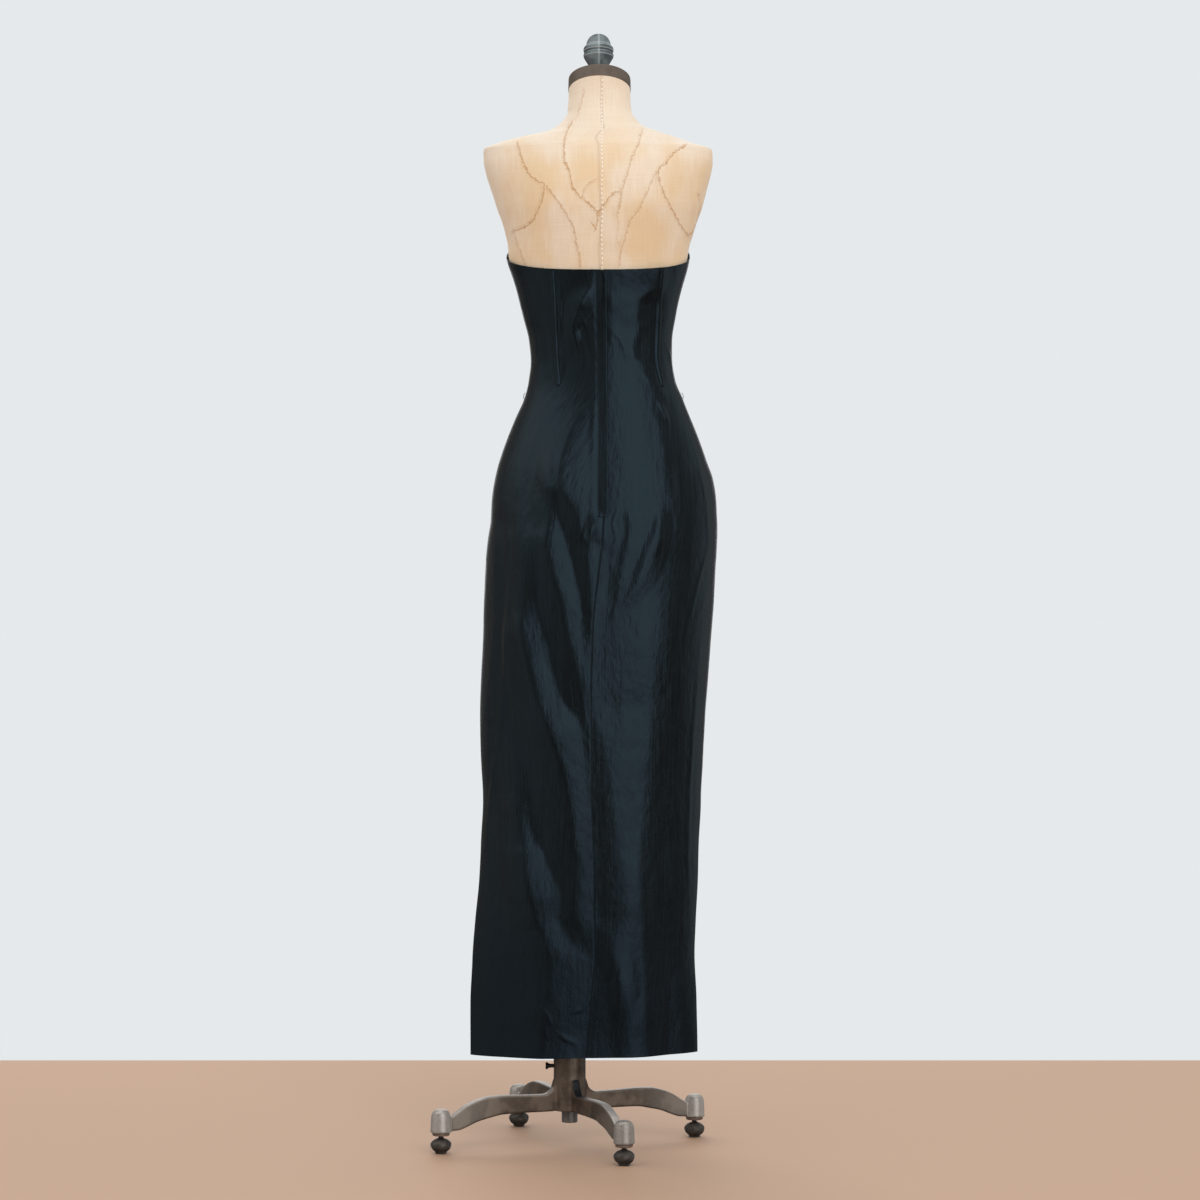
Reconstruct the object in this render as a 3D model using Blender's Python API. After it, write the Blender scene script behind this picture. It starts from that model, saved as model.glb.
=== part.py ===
"""A strapless column evening gown, worn by a limbless dress form on a four-legged castor stand.

Blender 4.5, metres, +Z up.  The origin is on the floor, under the middle of the whole object.
-Y is the gown's back, with its lapped zip, +Y is its front, and +X is the wearer's right hand side.
Every piece that a maker cuts, sews, casts or turns is its own named object.
"""

import math
from collections import namedtuple

import bmesh
import bpy
import numpy as np
from mathutils import Matrix, Vector

# ---------------------------------------------------------------- driving dimensions
CLOTH_WALL = 0.0015  # the thickness of a cloth panel
CLOTH_CLEARANCE = 0.0005  # the gown's lining side stands this far off the form
EDGE_EASE = 0.0017  # and the neckline stands this much further off
EDGE_EASE_HEIGHTS = (1.360, 1.410)  # the cloth eases off the form between these heights
SEAM_GAP = 0.0003  # between two pieces that are sewn or seated together

FORM_BOTTOM = 0.930  # the height of the form's underside
FORM_TUCK = 0.012  # how much slimmer than the skirt the form is at its underside
FORM_TUCK_START = 1.035  # the height where the skirt leaves the form
NECK_TOP = 1.690  # the height of the neck's cut, at its middle
NECK_TILT = math.radians(21.0)  # the cut leans forward: its back edge is the higher one
NECK_RADIUS = 0.0495  # the cut is a circle, a little smaller than the cap on it
NECK_ROUND_START = 1.621  # the height where the neck's sections start to turn into that circle

BACK_TOP = 1.392  # the height of the neckline at the centre back
SIDE_TOP = 1.4176  # and at the side seams
FRONT_TOP = 1.4640  # and at the centre front
HEM_LEFT = 0.1450  # the height of the hem at the left side seam
HEM_RIGHT = 0.1498  # and at the right one

CHANNEL_FOOT = 1.2110  # the height of the bone channels' lower ends
ZIP_END = 1.0020  # the height of the zip's bottom stop
ZIP_TOP = 1.3890  # the height of the top of its chain
ZIP_SLOT = 0.0046  # the width between the two sewn edges that the chain fills

POST_X = -0.0086  # the post's axis, X; its Y is 0
POST_RADIUS = 0.0127
POST_CHAMFER = 0.0010
POST_BOTTOM = 0.0370
BORE_RADIUS = 0.0132
HUB_RADIUS = 0.0255
HUB_BOTTOM = 0.0560
HUB_TOP = 0.1800
HUB_CHAMFER = 0.0030
FLANGE_RADIUS = 0.0450
FLANGE_THICKNESS = 0.0080
FLANGE_CHAMFER = 0.0020
PLATE_THICKNESS = 0.0150  # the wooden plate that closes the form's underside
PLATE_SHARE = 0.97  # the plate's outline as a share of the form's
FOOT_CIRCLE = 0.2194  # the distance of each foot from the post's axis
LEG_ANGLE = math.radians(23.0)  # the first leg's turn from the -X axis
LEG_WIDTH = 0.0135
SCREW_HEIGHT = 0.1270  # the height of the thumbscrew's axis

BACK_COLUMNS = 10  # mesh columns across each back panel
FRONT_COLUMNS = 20  # and across the front panel


def table(columns, *rows):
    """A table of numbers with named columns."""
    row_type = namedtuple("Row", columns)
    return tuple(row_type(*row) for row in rows)


# ---------------------------------------------------------------- the figure's sections
# One row for each section of the skirt and the form, from the hem up to the neck.
# middle is its X, front and back are its depths, and a roundness of 1 is an ellipse, less is
# squarer, and more is a lens with sharp corners at the side seams.
SECTIONS = table(
    "height middle half_width front back roundness",
    (0.140, 0.0144, 0.1804, 0.064, 0.064, 1.60),
    (0.152, 0.0144, 0.1804, 0.064, 0.064, 1.60),
    (0.232, 0.0136, 0.1796, 0.068, 0.069, 1.50),
    (0.296, 0.0136, 0.1764, 0.072, 0.073, 1.42),
    (0.360, 0.0168, 0.1748, 0.076, 0.078, 1.36),
    (0.424, 0.0216, 0.1732, 0.080, 0.083, 1.30),
    (0.488, 0.0240, 0.1724, 0.084, 0.088, 1.24),
    (0.552, 0.0272, 0.1724, 0.088, 0.094, 1.18),
    (0.616, 0.0272, 0.1756, 0.091, 0.100, 1.12),
    (0.680, 0.0280, 0.1780, 0.094, 0.106, 1.07),
    (0.744, 0.0312, 0.1796, 0.097, 0.112, 1.03),
    (0.808, 0.0352, 0.1804, 0.100, 0.117, 1.00),
    (0.872, 0.0384, 0.1820, 0.103, 0.122, 0.98),
    (0.936, 0.0416, 0.1820, 0.106, 0.126, 0.96),
    (0.968, 0.0440, 0.1812, 0.108, 0.128, 0.95),
    (1.000, 0.0464, 0.1788, 0.110, 0.128, 0.94),
    (1.032, 0.0464, 0.1772, 0.111, 0.125, 0.93),
    (1.064, 0.0464, 0.1724, 0.111, 0.119, 0.93),
    (1.096, 0.0448, 0.1628, 0.109, 0.110, 0.93),
    (1.128, 0.0448, 0.1516, 0.106, 0.100, 0.94),
    (1.160, 0.0448, 0.1388, 0.102, 0.090, 0.95),
    (1.192, 0.0456, 0.1252, 0.097, 0.082, 0.96),
    (1.224, 0.0432, 0.1148, 0.092, 0.077, 0.97),
    (1.256, 0.0424, 0.1108, 0.089, 0.076, 0.98),
    (1.288, 0.0408, 0.1124, 0.089, 0.078, 0.97),
    (1.320, 0.0392, 0.1188, 0.092, 0.082, 0.95),
    (1.352, 0.0384, 0.1260, 0.098, 0.087, 0.93),
    (1.384, 0.0384, 0.1340, 0.105, 0.092, 0.91),
    (1.419, 0.0370, 0.1428, 0.108, 0.097, 0.90),
    (1.438, 0.0380, 0.1452, 0.106, 0.100, 0.90),
    (1.458, 0.0390, 0.1504, 0.102, 0.102, 0.90),
    (1.477, 0.0392, 0.1560, 0.097, 0.104, 0.90),
    (1.496, 0.0392, 0.1632, 0.091, 0.105, 0.90),
    (1.515, 0.0388, 0.1688, 0.084, 0.104, 0.90),
    (1.534, 0.0380, 0.1744, 0.077, 0.102, 0.90),
    (1.554, 0.0376, 0.1800, 0.070, 0.098, 0.90),
    (1.573, 0.0372, 0.1832, 0.064, 0.092, 0.92),
    (1.584, 0.0368, 0.1832, 0.061, 0.087, 0.94),
    (1.592, 0.0362, 0.1824, 0.060, 0.083, 0.95),
    (1.601, 0.0322, 0.1587, 0.060, 0.076, 0.96),
    (1.611, 0.0367, 0.1262, 0.061, 0.069, 0.97),
    (1.621, 0.0440, 0.0880, 0.063, 0.062, 0.98),
    (1.630, 0.0402, 0.0692, 0.066, 0.055, 1.00),
    (1.640, 0.0406, 0.0596, 0.068, 0.049, 1.00),
    (1.650, 0.0398, 0.0526, 0.069, 0.043, 1.00),
    (1.659, 0.0392, 0.0526, 0.070, 0.039, 1.00),
    (1.669, 0.0390, 0.0512, 0.071, 0.036, 1.00),
    (1.678, 0.0390, 0.0502, 0.072, 0.033, 1.00),
    (1.690, 0.0392, 0.0500, 0.073, 0.030, 1.00),
)

# The centre-back line: the zip's, down to its bottom stop, and the seam's below it.
CENTRE_BACK = table(
    "height x",
    (0.140, 0.0163),
    (0.232, 0.0242),
    (0.312, 0.0305),
    (0.424, 0.0305),
    (0.584, 0.0258),
    (0.712, 0.0258),
    (0.808, 0.0274),
    (0.936, 0.0400),
    (1.002, 0.0455),
    (1.120, 0.0455),
    (1.280, 0.0440),
    (1.390, 0.0430),
)

# How far each side seam lies behind the skirt's side, measured along the cloth.
SIDE_SEAMS = table(
    "height left right",
    (0.140, 0.000, 0.000),
    (0.440, 0.000, 0.000),
    (0.540, 0.006, 0.000),
    (0.680, 0.012, 0.000),
    (0.780, 0.006, 0.000),
    (0.880, 0.000, 0.000),
    (1.480, 0.000, 0.000),
)

# Soft swells of the figure: the two cups at the bust and the shoulder blades.
# side is +1 for the front and -1 for the back, and x is measured from the section's middle.
SWELLS = table(
    "side x height reach_x reach_z swell",
    (+1, -0.072, 1.392, 0.052, 0.056, 0.030),
    (+1, +0.072, 1.392, 0.052, 0.056, 0.030),
    (-1, -0.078, 1.500, 0.050, 0.060, 0.006),
    (-1, +0.078, 1.500, 0.050, 0.060, 0.006),
)

# The skirt's largest folds, each a long soft ridge from its top to its foot.
FOLDS = table(
    "side x_top z_top x_foot z_foot width_top width_foot rise",
    (-1, -0.034, 1.020, 0.012, 0.640, 0.016, 0.018, 0.0050),
    (-1, -0.066, 0.930, -0.004, 0.480, 0.018, 0.024, 0.0060),
    (-1, -0.082, 0.600, -0.022, 0.100, 0.022, 0.034, 0.0070),
    (-1, 0.078, 1.000, 0.092, 0.100, 0.034, 0.022, 0.0070),
    (-1, 0.188, 1.060, 0.168, 0.420, 0.014, 0.018, 0.0040),
    (+1, 0.060, 0.940, 0.010, 0.100, 0.026, 0.034, 0.0070),
    (+1, 0.140, 0.900, 0.120, 0.100, 0.022, 0.028, 0.0060),
    (+1, -0.050, 0.960, -0.080, 0.100, 0.024, 0.030, 0.0060),
    (+1, -0.118, 0.760, -0.130, 0.260, 0.016, 0.020, 0.0040),
)

# Heights of the mesh rows that the gown and the form share.
SKIRT_ROW_COUNT = 17
SKIRT_ROW_START = 0.185
BODICE_ROW_COUNT = 15
BODICE_STEP = (CHANNEL_FOOT - FORM_BOTTOM) / 10
CUP_ROWS = (1.371, 1.391)
NECKLINE_ROWS = 3  # rows between the last shared one and the neckline
SKIRT_STEP = (FORM_BOTTOM - SKIRT_ROW_START) / SKIRT_ROW_COUNT
SKIRT_ROWS = tuple(SKIRT_ROW_START + SKIRT_STEP * i for i in range(SKIRT_ROW_COUNT))
BODICE_ROWS = tuple(FORM_BOTTOM + BODICE_STEP * i for i in range(1, BODICE_ROW_COUNT + 1))
BACK_ROWS = SKIRT_ROWS + (FORM_BOTTOM,) + BODICE_ROWS
FRONT_ROWS = BACK_ROWS + CUP_ROWS
CHAIN_FOOT = BODICE_ROWS[2]  # the zip's chain starts on the first row above its bottom stop
NECK_ROWS = CUP_ROWS + (1.412, 1.440, 1.475, 1.505, 1.535, 1.560, 1.578, 1.590, 1.597,
                        1.605, 1.613, 1.621, 1.630, 1.645, 1.662)


# ---------------------------------------------------------------- curves through the tables
def smooth_column(rows, column):
    """A function of height: a cubic through one column that never swings past its rows."""
    z = np.array([row.height for row in rows])
    value = np.array([getattr(row, column) for row in rows])
    step = np.diff(z)
    secant = np.diff(value) / step
    slope = np.zeros(len(z))
    for i in range(1, len(z) - 1):
        if secant[i - 1] * secant[i] > 0:
            before, after = 2 * step[i] + step[i - 1], step[i] + 2 * step[i - 1]
            slope[i] = (before + after) / (before / secant[i - 1] + after / secant[i])
    slope[0], slope[-1] = secant[0], secant[-1]

    def at(height):
        height = np.clip(height, z[0], z[-1])
        i = np.clip(np.searchsorted(z, height) - 1, 0, len(z) - 2)
        s = (height - z[i]) / step[i]
        rise = s * s * (3 - 2 * s)
        bend = slope[i] * s * (1 - s) ** 2 - slope[i + 1] * s * s * (1 - s)
        return value[i] * (1 - rise) + value[i + 1] * rise + step[i] * bend

    return at


middle_at = smooth_column(SECTIONS, "middle")
half_width_at = smooth_column(SECTIONS, "half_width")
front_at = smooth_column(SECTIONS, "front")
back_at = smooth_column(SECTIONS, "back")
roundness_at = smooth_column(SECTIONS, "roundness")
centre_back_at = smooth_column(CENTRE_BACK, "x")
left_seam_at = smooth_column(SIDE_SEAMS, "left")
right_seam_at = smooth_column(SIDE_SEAMS, "right")


def ramp(value, start, end):
    """0 before start, 1 after end, smooth between them."""
    s = min(max((value - start) / (end - start), 0.0), 1.0)
    return s * s * (3 - 2 * s)


# ---------------------------------------------------------------- points of the figure
# An angle goes once round a section: 0 at the left side, pi/2 at the back, pi at the right side
# and 3pi/2 at the front.
SWELL_FADE = 2.5  # a swell dies out towards the side seams, the faster the higher this is
TANGENT_STEP = 0.02  # half the turn over which a section's direction is measured
REACH_STEP = 0.01  # the turn of each step along a side's cloth


def section_xy(angle, z, tuck=0.0):
    half = half_width_at(z) - tuck
    wave = math.sin(angle)
    depth = (back_at(z) if wave >= 0 else front_at(z)) - tuck
    x = middle_at(z) - half * math.cos(angle)
    y = -math.copysign(depth * abs(wave) ** roundness_at(z), wave)
    side = -1 if wave >= 0 else 1
    for row in SWELLS:
        if row.side == side:
            across = (x - middle_at(z) - row.x) / row.reach_x
            up = (z - row.height) / row.reach_z
            fade = min(1.0, abs(wave) * SWELL_FADE)
            y += side * row.swell * math.exp(-(across**2 + up**2)) * fade
    return Vector((x, y))


def outward(angle, z):
    """The direction that leaves a section squarely."""
    along = section_xy(angle + TANGENT_STEP, z) - section_xy(angle - TANGENT_STEP, z)
    along.normalize()
    return Vector((along.y, -along.x))


def angle_at_x(x, z):
    """The angle of the back point that has this X."""
    return math.acos(min(max((middle_at(z) - x) / half_width_at(z), -1.0), 1.0))


def angle_of_reach(reach, z):
    """How far round the side a length of cloth reaches, measured from the side seam's place."""
    angle = 0.0
    here = section_xy(0.0, z)
    while reach > 0:
        angle += REACH_STEP
        there = section_xy(angle, z)
        reach -= (there - here).length
        here = there
    return angle


FOLD_START = (0.0, 0.3)  # the shares of its length over which a fold rises
FOLD_END = (0.8, 1.15)  # and over which it dies out


def fold_rise(x, z, side):
    """How far the folds lift the cloth at a point of the front or the back."""
    rise = 0.0
    for fold in FOLDS:
        down = (fold.z_top - z) / (fold.z_top - fold.z_foot)
        if fold.side != side or not 0.0 < down < 1.0:
            continue
        line = fold.x_top + (fold.x_foot - fold.x_top) * down
        width = fold.width_top + (fold.width_foot - fold.width_top) * down
        fade = ramp(down, *FOLD_START) * (1.0 - ramp(down, *FOLD_END))
        rise += fold.rise * fade * math.exp(-(((x - line) / width) ** 2))
    return rise


def cloth_point(angle, z, lift=0.0):
    """A point of the gown's inner side, or one lifted off it."""
    flat = section_xy(angle, z)
    side = -1 if math.sin(angle) >= 0 else 1
    ease = EDGE_EASE * ramp(z, *EDGE_EASE_HEIGHTS)
    flat += outward(angle, z) * (CLOTH_CLEARANCE + ease + fold_rise(flat.x, z, side) + lift)
    return Vector((flat.x, flat.y, z))


def neck_middle_y():
    return (front_at(NECK_TOP) - back_at(NECK_TOP)) / 2


def form_point(angle, z):
    """A point of the form's linen.  Seen from above, the neck's tilted round cut is an ellipse."""
    tuck = FORM_TUCK * (1.0 - ramp(z, FORM_BOTTOM, FORM_TUCK_START))
    flat = section_xy(angle, z, tuck)
    cut_x = middle_at(NECK_TOP) - NECK_RADIUS * math.cos(angle)
    cut_y = neck_middle_y() - NECK_RADIUS * math.cos(NECK_TILT) * math.sin(angle)
    flat = flat.lerp(Vector((cut_x, cut_y)), ramp(z, NECK_ROUND_START, NECK_TOP))
    return Vector((flat.x, flat.y, z))


# ---------------------------------------------------------------- seams and edges
def left_seam(z):
    return angle_of_reach(left_seam_at(z), z)


def right_seam(z):
    return math.pi - angle_of_reach(right_seam_at(z), z)


def centre_back(z):
    return angle_at_x(centre_back_at(z), z)


def spread(start, end, count):
    return [start + (end - start) * i / count for i in range(count + 1)]


BACK_NECK_CURVE = 1.3  # over 1, the back's neckline is flat in the middle and climbs at the sides
FRONT_NECK_CURVE = 0.8  # under 1, the front's climbs at once and is flat in the middle


def neckline(angle):
    """The height of the neckline: low and flat across the back, higher across the front."""
    wave = math.sin(angle)
    if wave >= 0:
        return BACK_TOP + (SIDE_TOP - BACK_TOP) * (1.0 - wave) ** BACK_NECK_CURVE
    return SIDE_TOP + (FRONT_TOP - SIDE_TOP) * (-wave) ** FRONT_NECK_CURVE


def hem(angle):
    return HEM_LEFT + (HEM_RIGHT - HEM_LEFT) * (1.0 - math.cos(angle)) / 2.0


# ---------------------------------------------------------------- meshes and materials
def material(name, colour, roughness, metallic=0.0):
    made = bpy.data.materials.new(name)
    made.use_nodes = True
    shader = made.node_tree.nodes["Principled BSDF"]
    shader.inputs["Base Color"].default_value = (*colour, 1.0)
    shader.inputs["Roughness"].default_value = roughness
    shader.inputs["Metallic"].default_value = metallic
    return made


def add_object(name, bm, finish, place=(0.0, 0.0, 0.0), parent=None, smooth=True):
    """Turns a bmesh into a named object at its place."""
    bmesh.ops.recalc_face_normals(bm, faces=bm.faces)
    mesh = bpy.data.meshes.new(name)
    bm.to_mesh(mesh)
    bm.free()
    mesh.materials.append(finish)
    if smooth:
        mesh.shade_smooth()
        mesh.set_sharp_from_angle(angle=math.radians(35.0))
    made = bpy.data.objects.new(name, mesh)
    made.location = place
    made.parent = parent
    bpy.context.collection.objects.link(made)
    return made


def add_axis(name, place, parent=None):
    """An empty on a joint's axis, which carries the pieces that move with it."""
    axis = bpy.data.objects.new(name, None)
    axis.location = place
    axis.parent = parent
    bpy.context.collection.objects.link(axis)
    return axis


def skin_faces(bm, grid, closed=False):
    """Two triangles for each cell of a grid of vertices, cut the same way everywhere."""
    for low, high in zip(grid, grid[1:]):
        count = len(low)
        for i in range(count if closed else count - 1):
            k = (i + 1) % count
            bm.faces.new((low[i], low[k], high[k]))
            bm.faces.new((low[i], high[k], high[i]))


def wall_mesh(inner, outer):
    """A cloth wall between two grids of points, closed along its four edges."""
    bm = bmesh.new()
    inside = [[bm.verts.new(p) for p in row] for row in inner]
    outside = [[bm.verts.new(p) for p in row] for row in outer]
    skin_faces(bm, inside)
    skin_faces(bm, outside)
    rims = (
        (inside[0], outside[0]),
        (inside[-1], outside[-1]),
        ([row[0] for row in inside], [row[0] for row in outside]),
        ([row[-1] for row in inside], [row[-1] for row in outside]),
    )
    for rim in rims:
        skin_faces(bm, rim)
    return bm


def turned_mesh(profile, segments):
    """A closed ring or disc: (radius, height) points turned once round Z."""
    bm = bmesh.new()
    verts = [bm.verts.new((radius, 0.0, height)) for radius, height in profile]
    edges = [bm.edges.new(pair) for pair in zip(verts, verts[1:])]
    if profile[0][0] > 0:
        edges.append(bm.edges.new((verts[-1], verts[0])))
    bmesh.ops.spin(bm, geom=verts + edges, axis=(0, 0, 1), cent=(0, 0, 0), steps=segments,
                   angle=math.tau)
    bmesh.ops.remove_doubles(bm, verts=bm.verts, dist=1e-5)
    return bm


# ---------------------------------------------------------------- the gown
def panel_rows(shared_rows, start, end, count):
    """Rows of (angle, height) for a panel between two seams, from its hem to its neckline.

    start and end give a seam's angle at a height.
    """
    rows = [[(a, hem(a)) for a in spread(start(HEM_LEFT), end(HEM_LEFT), count)]]
    for z in shared_rows:
        rows.append([(a, z) for a in spread(start(z), end(z), count)])
    last = shared_rows[-1]
    for i in range(1, NECKLINE_ROWS + 1):
        angles = spread(start(BACK_TOP), end(BACK_TOP), count)
        rows.append([(a, last + (neckline(a) - last) * i / NECKLINE_ROWS) for a in angles])
    return rows


ZIP_PARTING = 0.014  # the seam starts to part this far below the zip's bottom stop


def zip_opening(z):
    """Half the width between the two back panels at a height."""
    opened = ramp(z, ZIP_END - ZIP_PARTING, CHAIN_FOOT)
    return SEAM_GAP / 2 + (ZIP_SLOT - SEAM_GAP) / 2 * opened


def pull_back(row, first, last):
    """Moves a row's end points away from its seams, along the cloth."""
    row[0] += (row[1] - row[0]).normalized() * first
    row[-1] += (row[-2] - row[-1]).normalized() * last


def panel_mesh(rows, first_gap, last_gap):
    """A panel's wall.  Each gap gives how far that end of a row stays off its seam."""
    sides = []
    for lift in (0.0, CLOTH_WALL):
        grid = [[cloth_point(a, z, lift) for a, z in row] for row in rows]
        for row in grid:
            pull_back(row, first_gap(row[0].z), last_gap(row[-1].z))
        sides.append(grid)
    return wall_mesh(*sides)


def half_seam(z):
    return SEAM_GAP / 2


def add_gown(parent, satin):
    back_left = panel_rows(BACK_ROWS, left_seam, centre_back, BACK_COLUMNS)
    back_right = panel_rows(BACK_ROWS, centre_back, right_seam, BACK_COLUMNS)
    front = panel_rows(FRONT_ROWS, right_seam, lambda z: left_seam(z) + math.tau, FRONT_COLUMNS)
    place = -parent.matrix_world.translation
    for name, rows, first_gap, last_gap in (
        ("gown_back_left", back_left, half_seam, zip_opening),
        ("gown_back_right", back_right, zip_opening, half_seam),
        ("gown_front", front, half_seam, half_seam),
    ):
        add_object(name, panel_mesh(rows, first_gap, last_gap), satin, place, parent)


# Bone channels: strips over the two back darts, from the neckline down to the waist.
CHANNEL_WIDTH = 0.0090
CHANNEL_THICKNESS = 0.0010
CHANNEL_DROP = 0.0040  # how far a channel's head stays below the neckline
STRIP_END_ROW = 0.0040  # a strip's foot leaves out a panel row that is closer to it than this
CHANNELS = table(
    "height left_x right_x",
    (CHANNEL_FOOT, -0.0255, 0.1378),
    (1.262, -0.0290, 0.1291),
    (1.330, -0.0320, 0.1316),
    (1.389, -0.0352, 0.1345),
)


def strip_mesh(heights, middle, offsets, lifts, thickness):
    """A strip that lies on the gown: its points are the cloth's, moved out.

    offsets are the X of its columns from its middle line, and lifts(z) their heights off the cloth.
    """
    inner, outer = [], []
    for z in heights:
        angles = [angle_at_x(middle(z) + offset, z) for offset in offsets]
        heights_off = [CLOTH_WALL + SEAM_GAP + lift for lift in lifts(z)]
        inner.append([cloth_point(a, z, off) for a, off in zip(angles, heights_off)])
        outer.append([cloth_point(a, z, off + thickness) for a, off in zip(angles, heights_off)])
    return wall_mesh(inner, outer)


def strip_rows(low, neck, drop):
    """A strip's heights: the back panels' own rows between its foot and its head.

    neck is the height of the neckline above it, and drop is how far its head stays below that.
    """
    last = BACK_ROWS[-1]
    rows = [low] + [z for z in BACK_ROWS if z > low + STRIP_END_ROW]
    rows += [last + (neck - last) * i / NECKLINE_ROWS for i in range(1, NECKLINE_ROWS)]
    return rows + [neck - drop]


def add_bone_channels(parent, satin):
    place = -parent.matrix_world.translation
    for side in ("left", "right"):
        middle = smooth_column(CHANNELS, side + "_x")
        neck = neckline(angle_at_x(middle(BACK_TOP), BACK_TOP))
        heights = strip_rows(CHANNEL_FOOT, neck, CHANNEL_DROP)
        offsets = (-CHANNEL_WIDTH / 2, 0.0, CHANNEL_WIDTH / 2)
        mesh = strip_mesh(heights, middle, offsets, lambda z: (0.0, 0.0, 0.0), CHANNEL_THICKNESS)
        add_object("bone_channel_" + side, mesh, satin, place, parent)


# The zip: a chain in the slot, a slider at its top and a lap of cloth that hides both.
LAP_OFFSETS = (-0.0090, -0.0050, -0.0010, 0.0030, 0.0068)  # columns of the lap, X from the zip
LAP_THICKNESS = 0.0012
LAP_DROP = 0.0015  # how far its head stays below the neckline
LAP_ARCH = (0.0, 0.75, 1.0, 1.0, 0.80)  # each column's share of the arch over the slider
LAP_ARCH_START = 0.060  # the arch starts to rise this far below the chain's top
LAP_ARCH_FULL = 0.022  # and is at its full height this far below it
CHAIN_SINK = 0.0001  # the chain's face lies this far below the panels' outer faces
SLIDER_WIDTH = 0.0070
SLIDER_LENGTH = 0.0095
SLIDER_THICKNESS = 0.0022
SLIDER_DROP = 0.0030  # how far its top stays below the chain's
SLIDER_BODY = (  # share of the body's length from its waist, of half its width, of its thickness
    (0.0, 0.72, 0.80),
    (0.45, 1.0, 1.0),
    (1.0, 0.88, 0.85),
)
TAB_WIDTH = 0.0044
TAB_LENGTH = 0.0180
TAB_THICKNESS = 0.0009
TAB_STEP = 0.0005  # the length over which the tab meets the thicker body
SLIDER_ROOM = SLIDER_THICKNESS + 2 * SEAM_GAP  # how far the lap arches over the slider


def lap_lifts(z):
    """The lap is sewn down on its left and arches over the slider at the top."""
    arch = SLIDER_ROOM * ramp(z, ZIP_TOP - LAP_ARCH_START, ZIP_TOP - LAP_ARCH_FULL)
    return [arch * share for share in LAP_ARCH]


def chain_mesh():
    half = ZIP_SLOT / 2 - SEAM_GAP
    inner, outer = [], []
    for z in strip_rows(CHAIN_FOOT, BACK_TOP, BACK_TOP - ZIP_TOP):
        angles = [angle_at_x(centre_back_at(z) + x, z) for x in (-half, half)]
        inner.append([cloth_point(a, z, 0.0) for a in angles])
        outer.append([cloth_point(a, z, CLOTH_WALL - CHAIN_SINK) for a in angles])
    return wall_mesh(inner, outer)


def slider_mesh():
    """The slider's body and its pull tab, lying down on the chain as one piece."""
    waist = ZIP_TOP - SLIDER_DROP - SLIDER_LENGTH
    lift = CLOTH_WALL + SEAM_GAP
    outline = [(waist - TAB_LENGTH, TAB_WIDTH / 2, TAB_THICKNESS)]
    outline += [(waist - TAB_STEP, TAB_WIDTH / 2, TAB_THICKNESS)]
    outline += [(waist + SLIDER_LENGTH * along, SLIDER_WIDTH / 2 * wide, SLIDER_THICKNESS * thick)
                for along, wide, thick in SLIDER_BODY]
    inner, outer = [], []
    for z, half, thickness in outline:
        angles = [angle_at_x(centre_back_at(z) + x, z) for x in (-half, 0.0, half)]
        inner.append([cloth_point(a, z, lift) for a in angles])
        outer.append([cloth_point(a, z, lift + thickness) for a in angles])
    return wall_mesh(inner, outer)


def add_zip(parent, satin, coil, metal):
    place = -parent.matrix_world.translation
    heights = strip_rows(ZIP_END, BACK_TOP, LAP_DROP)
    lap = strip_mesh(heights, centre_back_at, LAP_OFFSETS, lap_lifts, LAP_THICKNESS)
    add_object("zip_lap", lap, satin, place, parent)
    add_object("zip_chain", chain_mesh(), coil, place, parent)
    add_object("zip_slider", slider_mesh(), metal, place, parent, smooth=False)


# ---------------------------------------------------------------- the dress form
def form_angles(z):
    """The angles of the gown's own mesh columns, so that the form's facets lie along the cloth's."""
    middle = centre_back(min(z, BACK_TOP))
    angles = spread(left_seam(z), middle, BACK_COLUMNS)[:-1]
    angles += spread(middle, right_seam(z), BACK_COLUMNS)[:-1]
    angles += spread(right_seam(z), left_seam(z) + math.tau, FRONT_COLUMNS)[:-1]
    return angles


def neck_axis():
    """The middle of the neck's cut, and the frame whose Z leaves the cut squarely."""
    turn = Matrix.Rotation(-NECK_TILT, 4, "X")
    return Matrix.Translation((middle_at(NECK_TOP), neck_middle_y(), NECK_TOP)) @ turn


NECK_LEAN = (0.25, 0.60, 1.0)  # how much of the cut's tilt the neck's last three rows have


def form_mesh():
    heights = (FORM_BOTTOM,) + BODICE_ROWS + NECK_ROWS + (NECK_TOP,)
    rows = [[form_point(a, z) for a in form_angles(z)] for z in heights]
    cut = neck_axis().translation
    for row, share in zip(rows[-len(NECK_LEAN):], NECK_LEAN):
        for point in row:
            point.z -= share * math.tan(NECK_TILT) * (point.y - cut.y)
    bm = bmesh.new()
    grid = [[bm.verts.new(p) for p in row] for row in rows]
    skin_faces(bm, grid, closed=True)
    bm.faces.new(grid[0])
    bm.faces.new(grid[-1])
    return bm


def base_plate_mesh():
    """The wooden plate under the form: its outline is the form's, a little inside it."""
    top = FORM_BOTTOM - SEAM_GAP
    middle = Vector((middle_at(FORM_BOTTOM), 0.0, 0.0))
    outline = [form_point(a, FORM_BOTTOM) for a in form_angles(FORM_BOTTOM)]
    bm = bmesh.new()
    rings = []
    for z in (top - PLATE_THICKNESS, top):
        ring = []
        for p in outline:
            flat = middle + (Vector((p.x, p.y, 0.0)) - middle) * PLATE_SHARE
            ring.append(bm.verts.new((flat.x, flat.y, z)))
        rings.append(ring)
    skin_faces(bm, rings, closed=True)
    bm.faces.new(rings[0])
    bm.faces.new(rings[1])
    return bm


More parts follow.
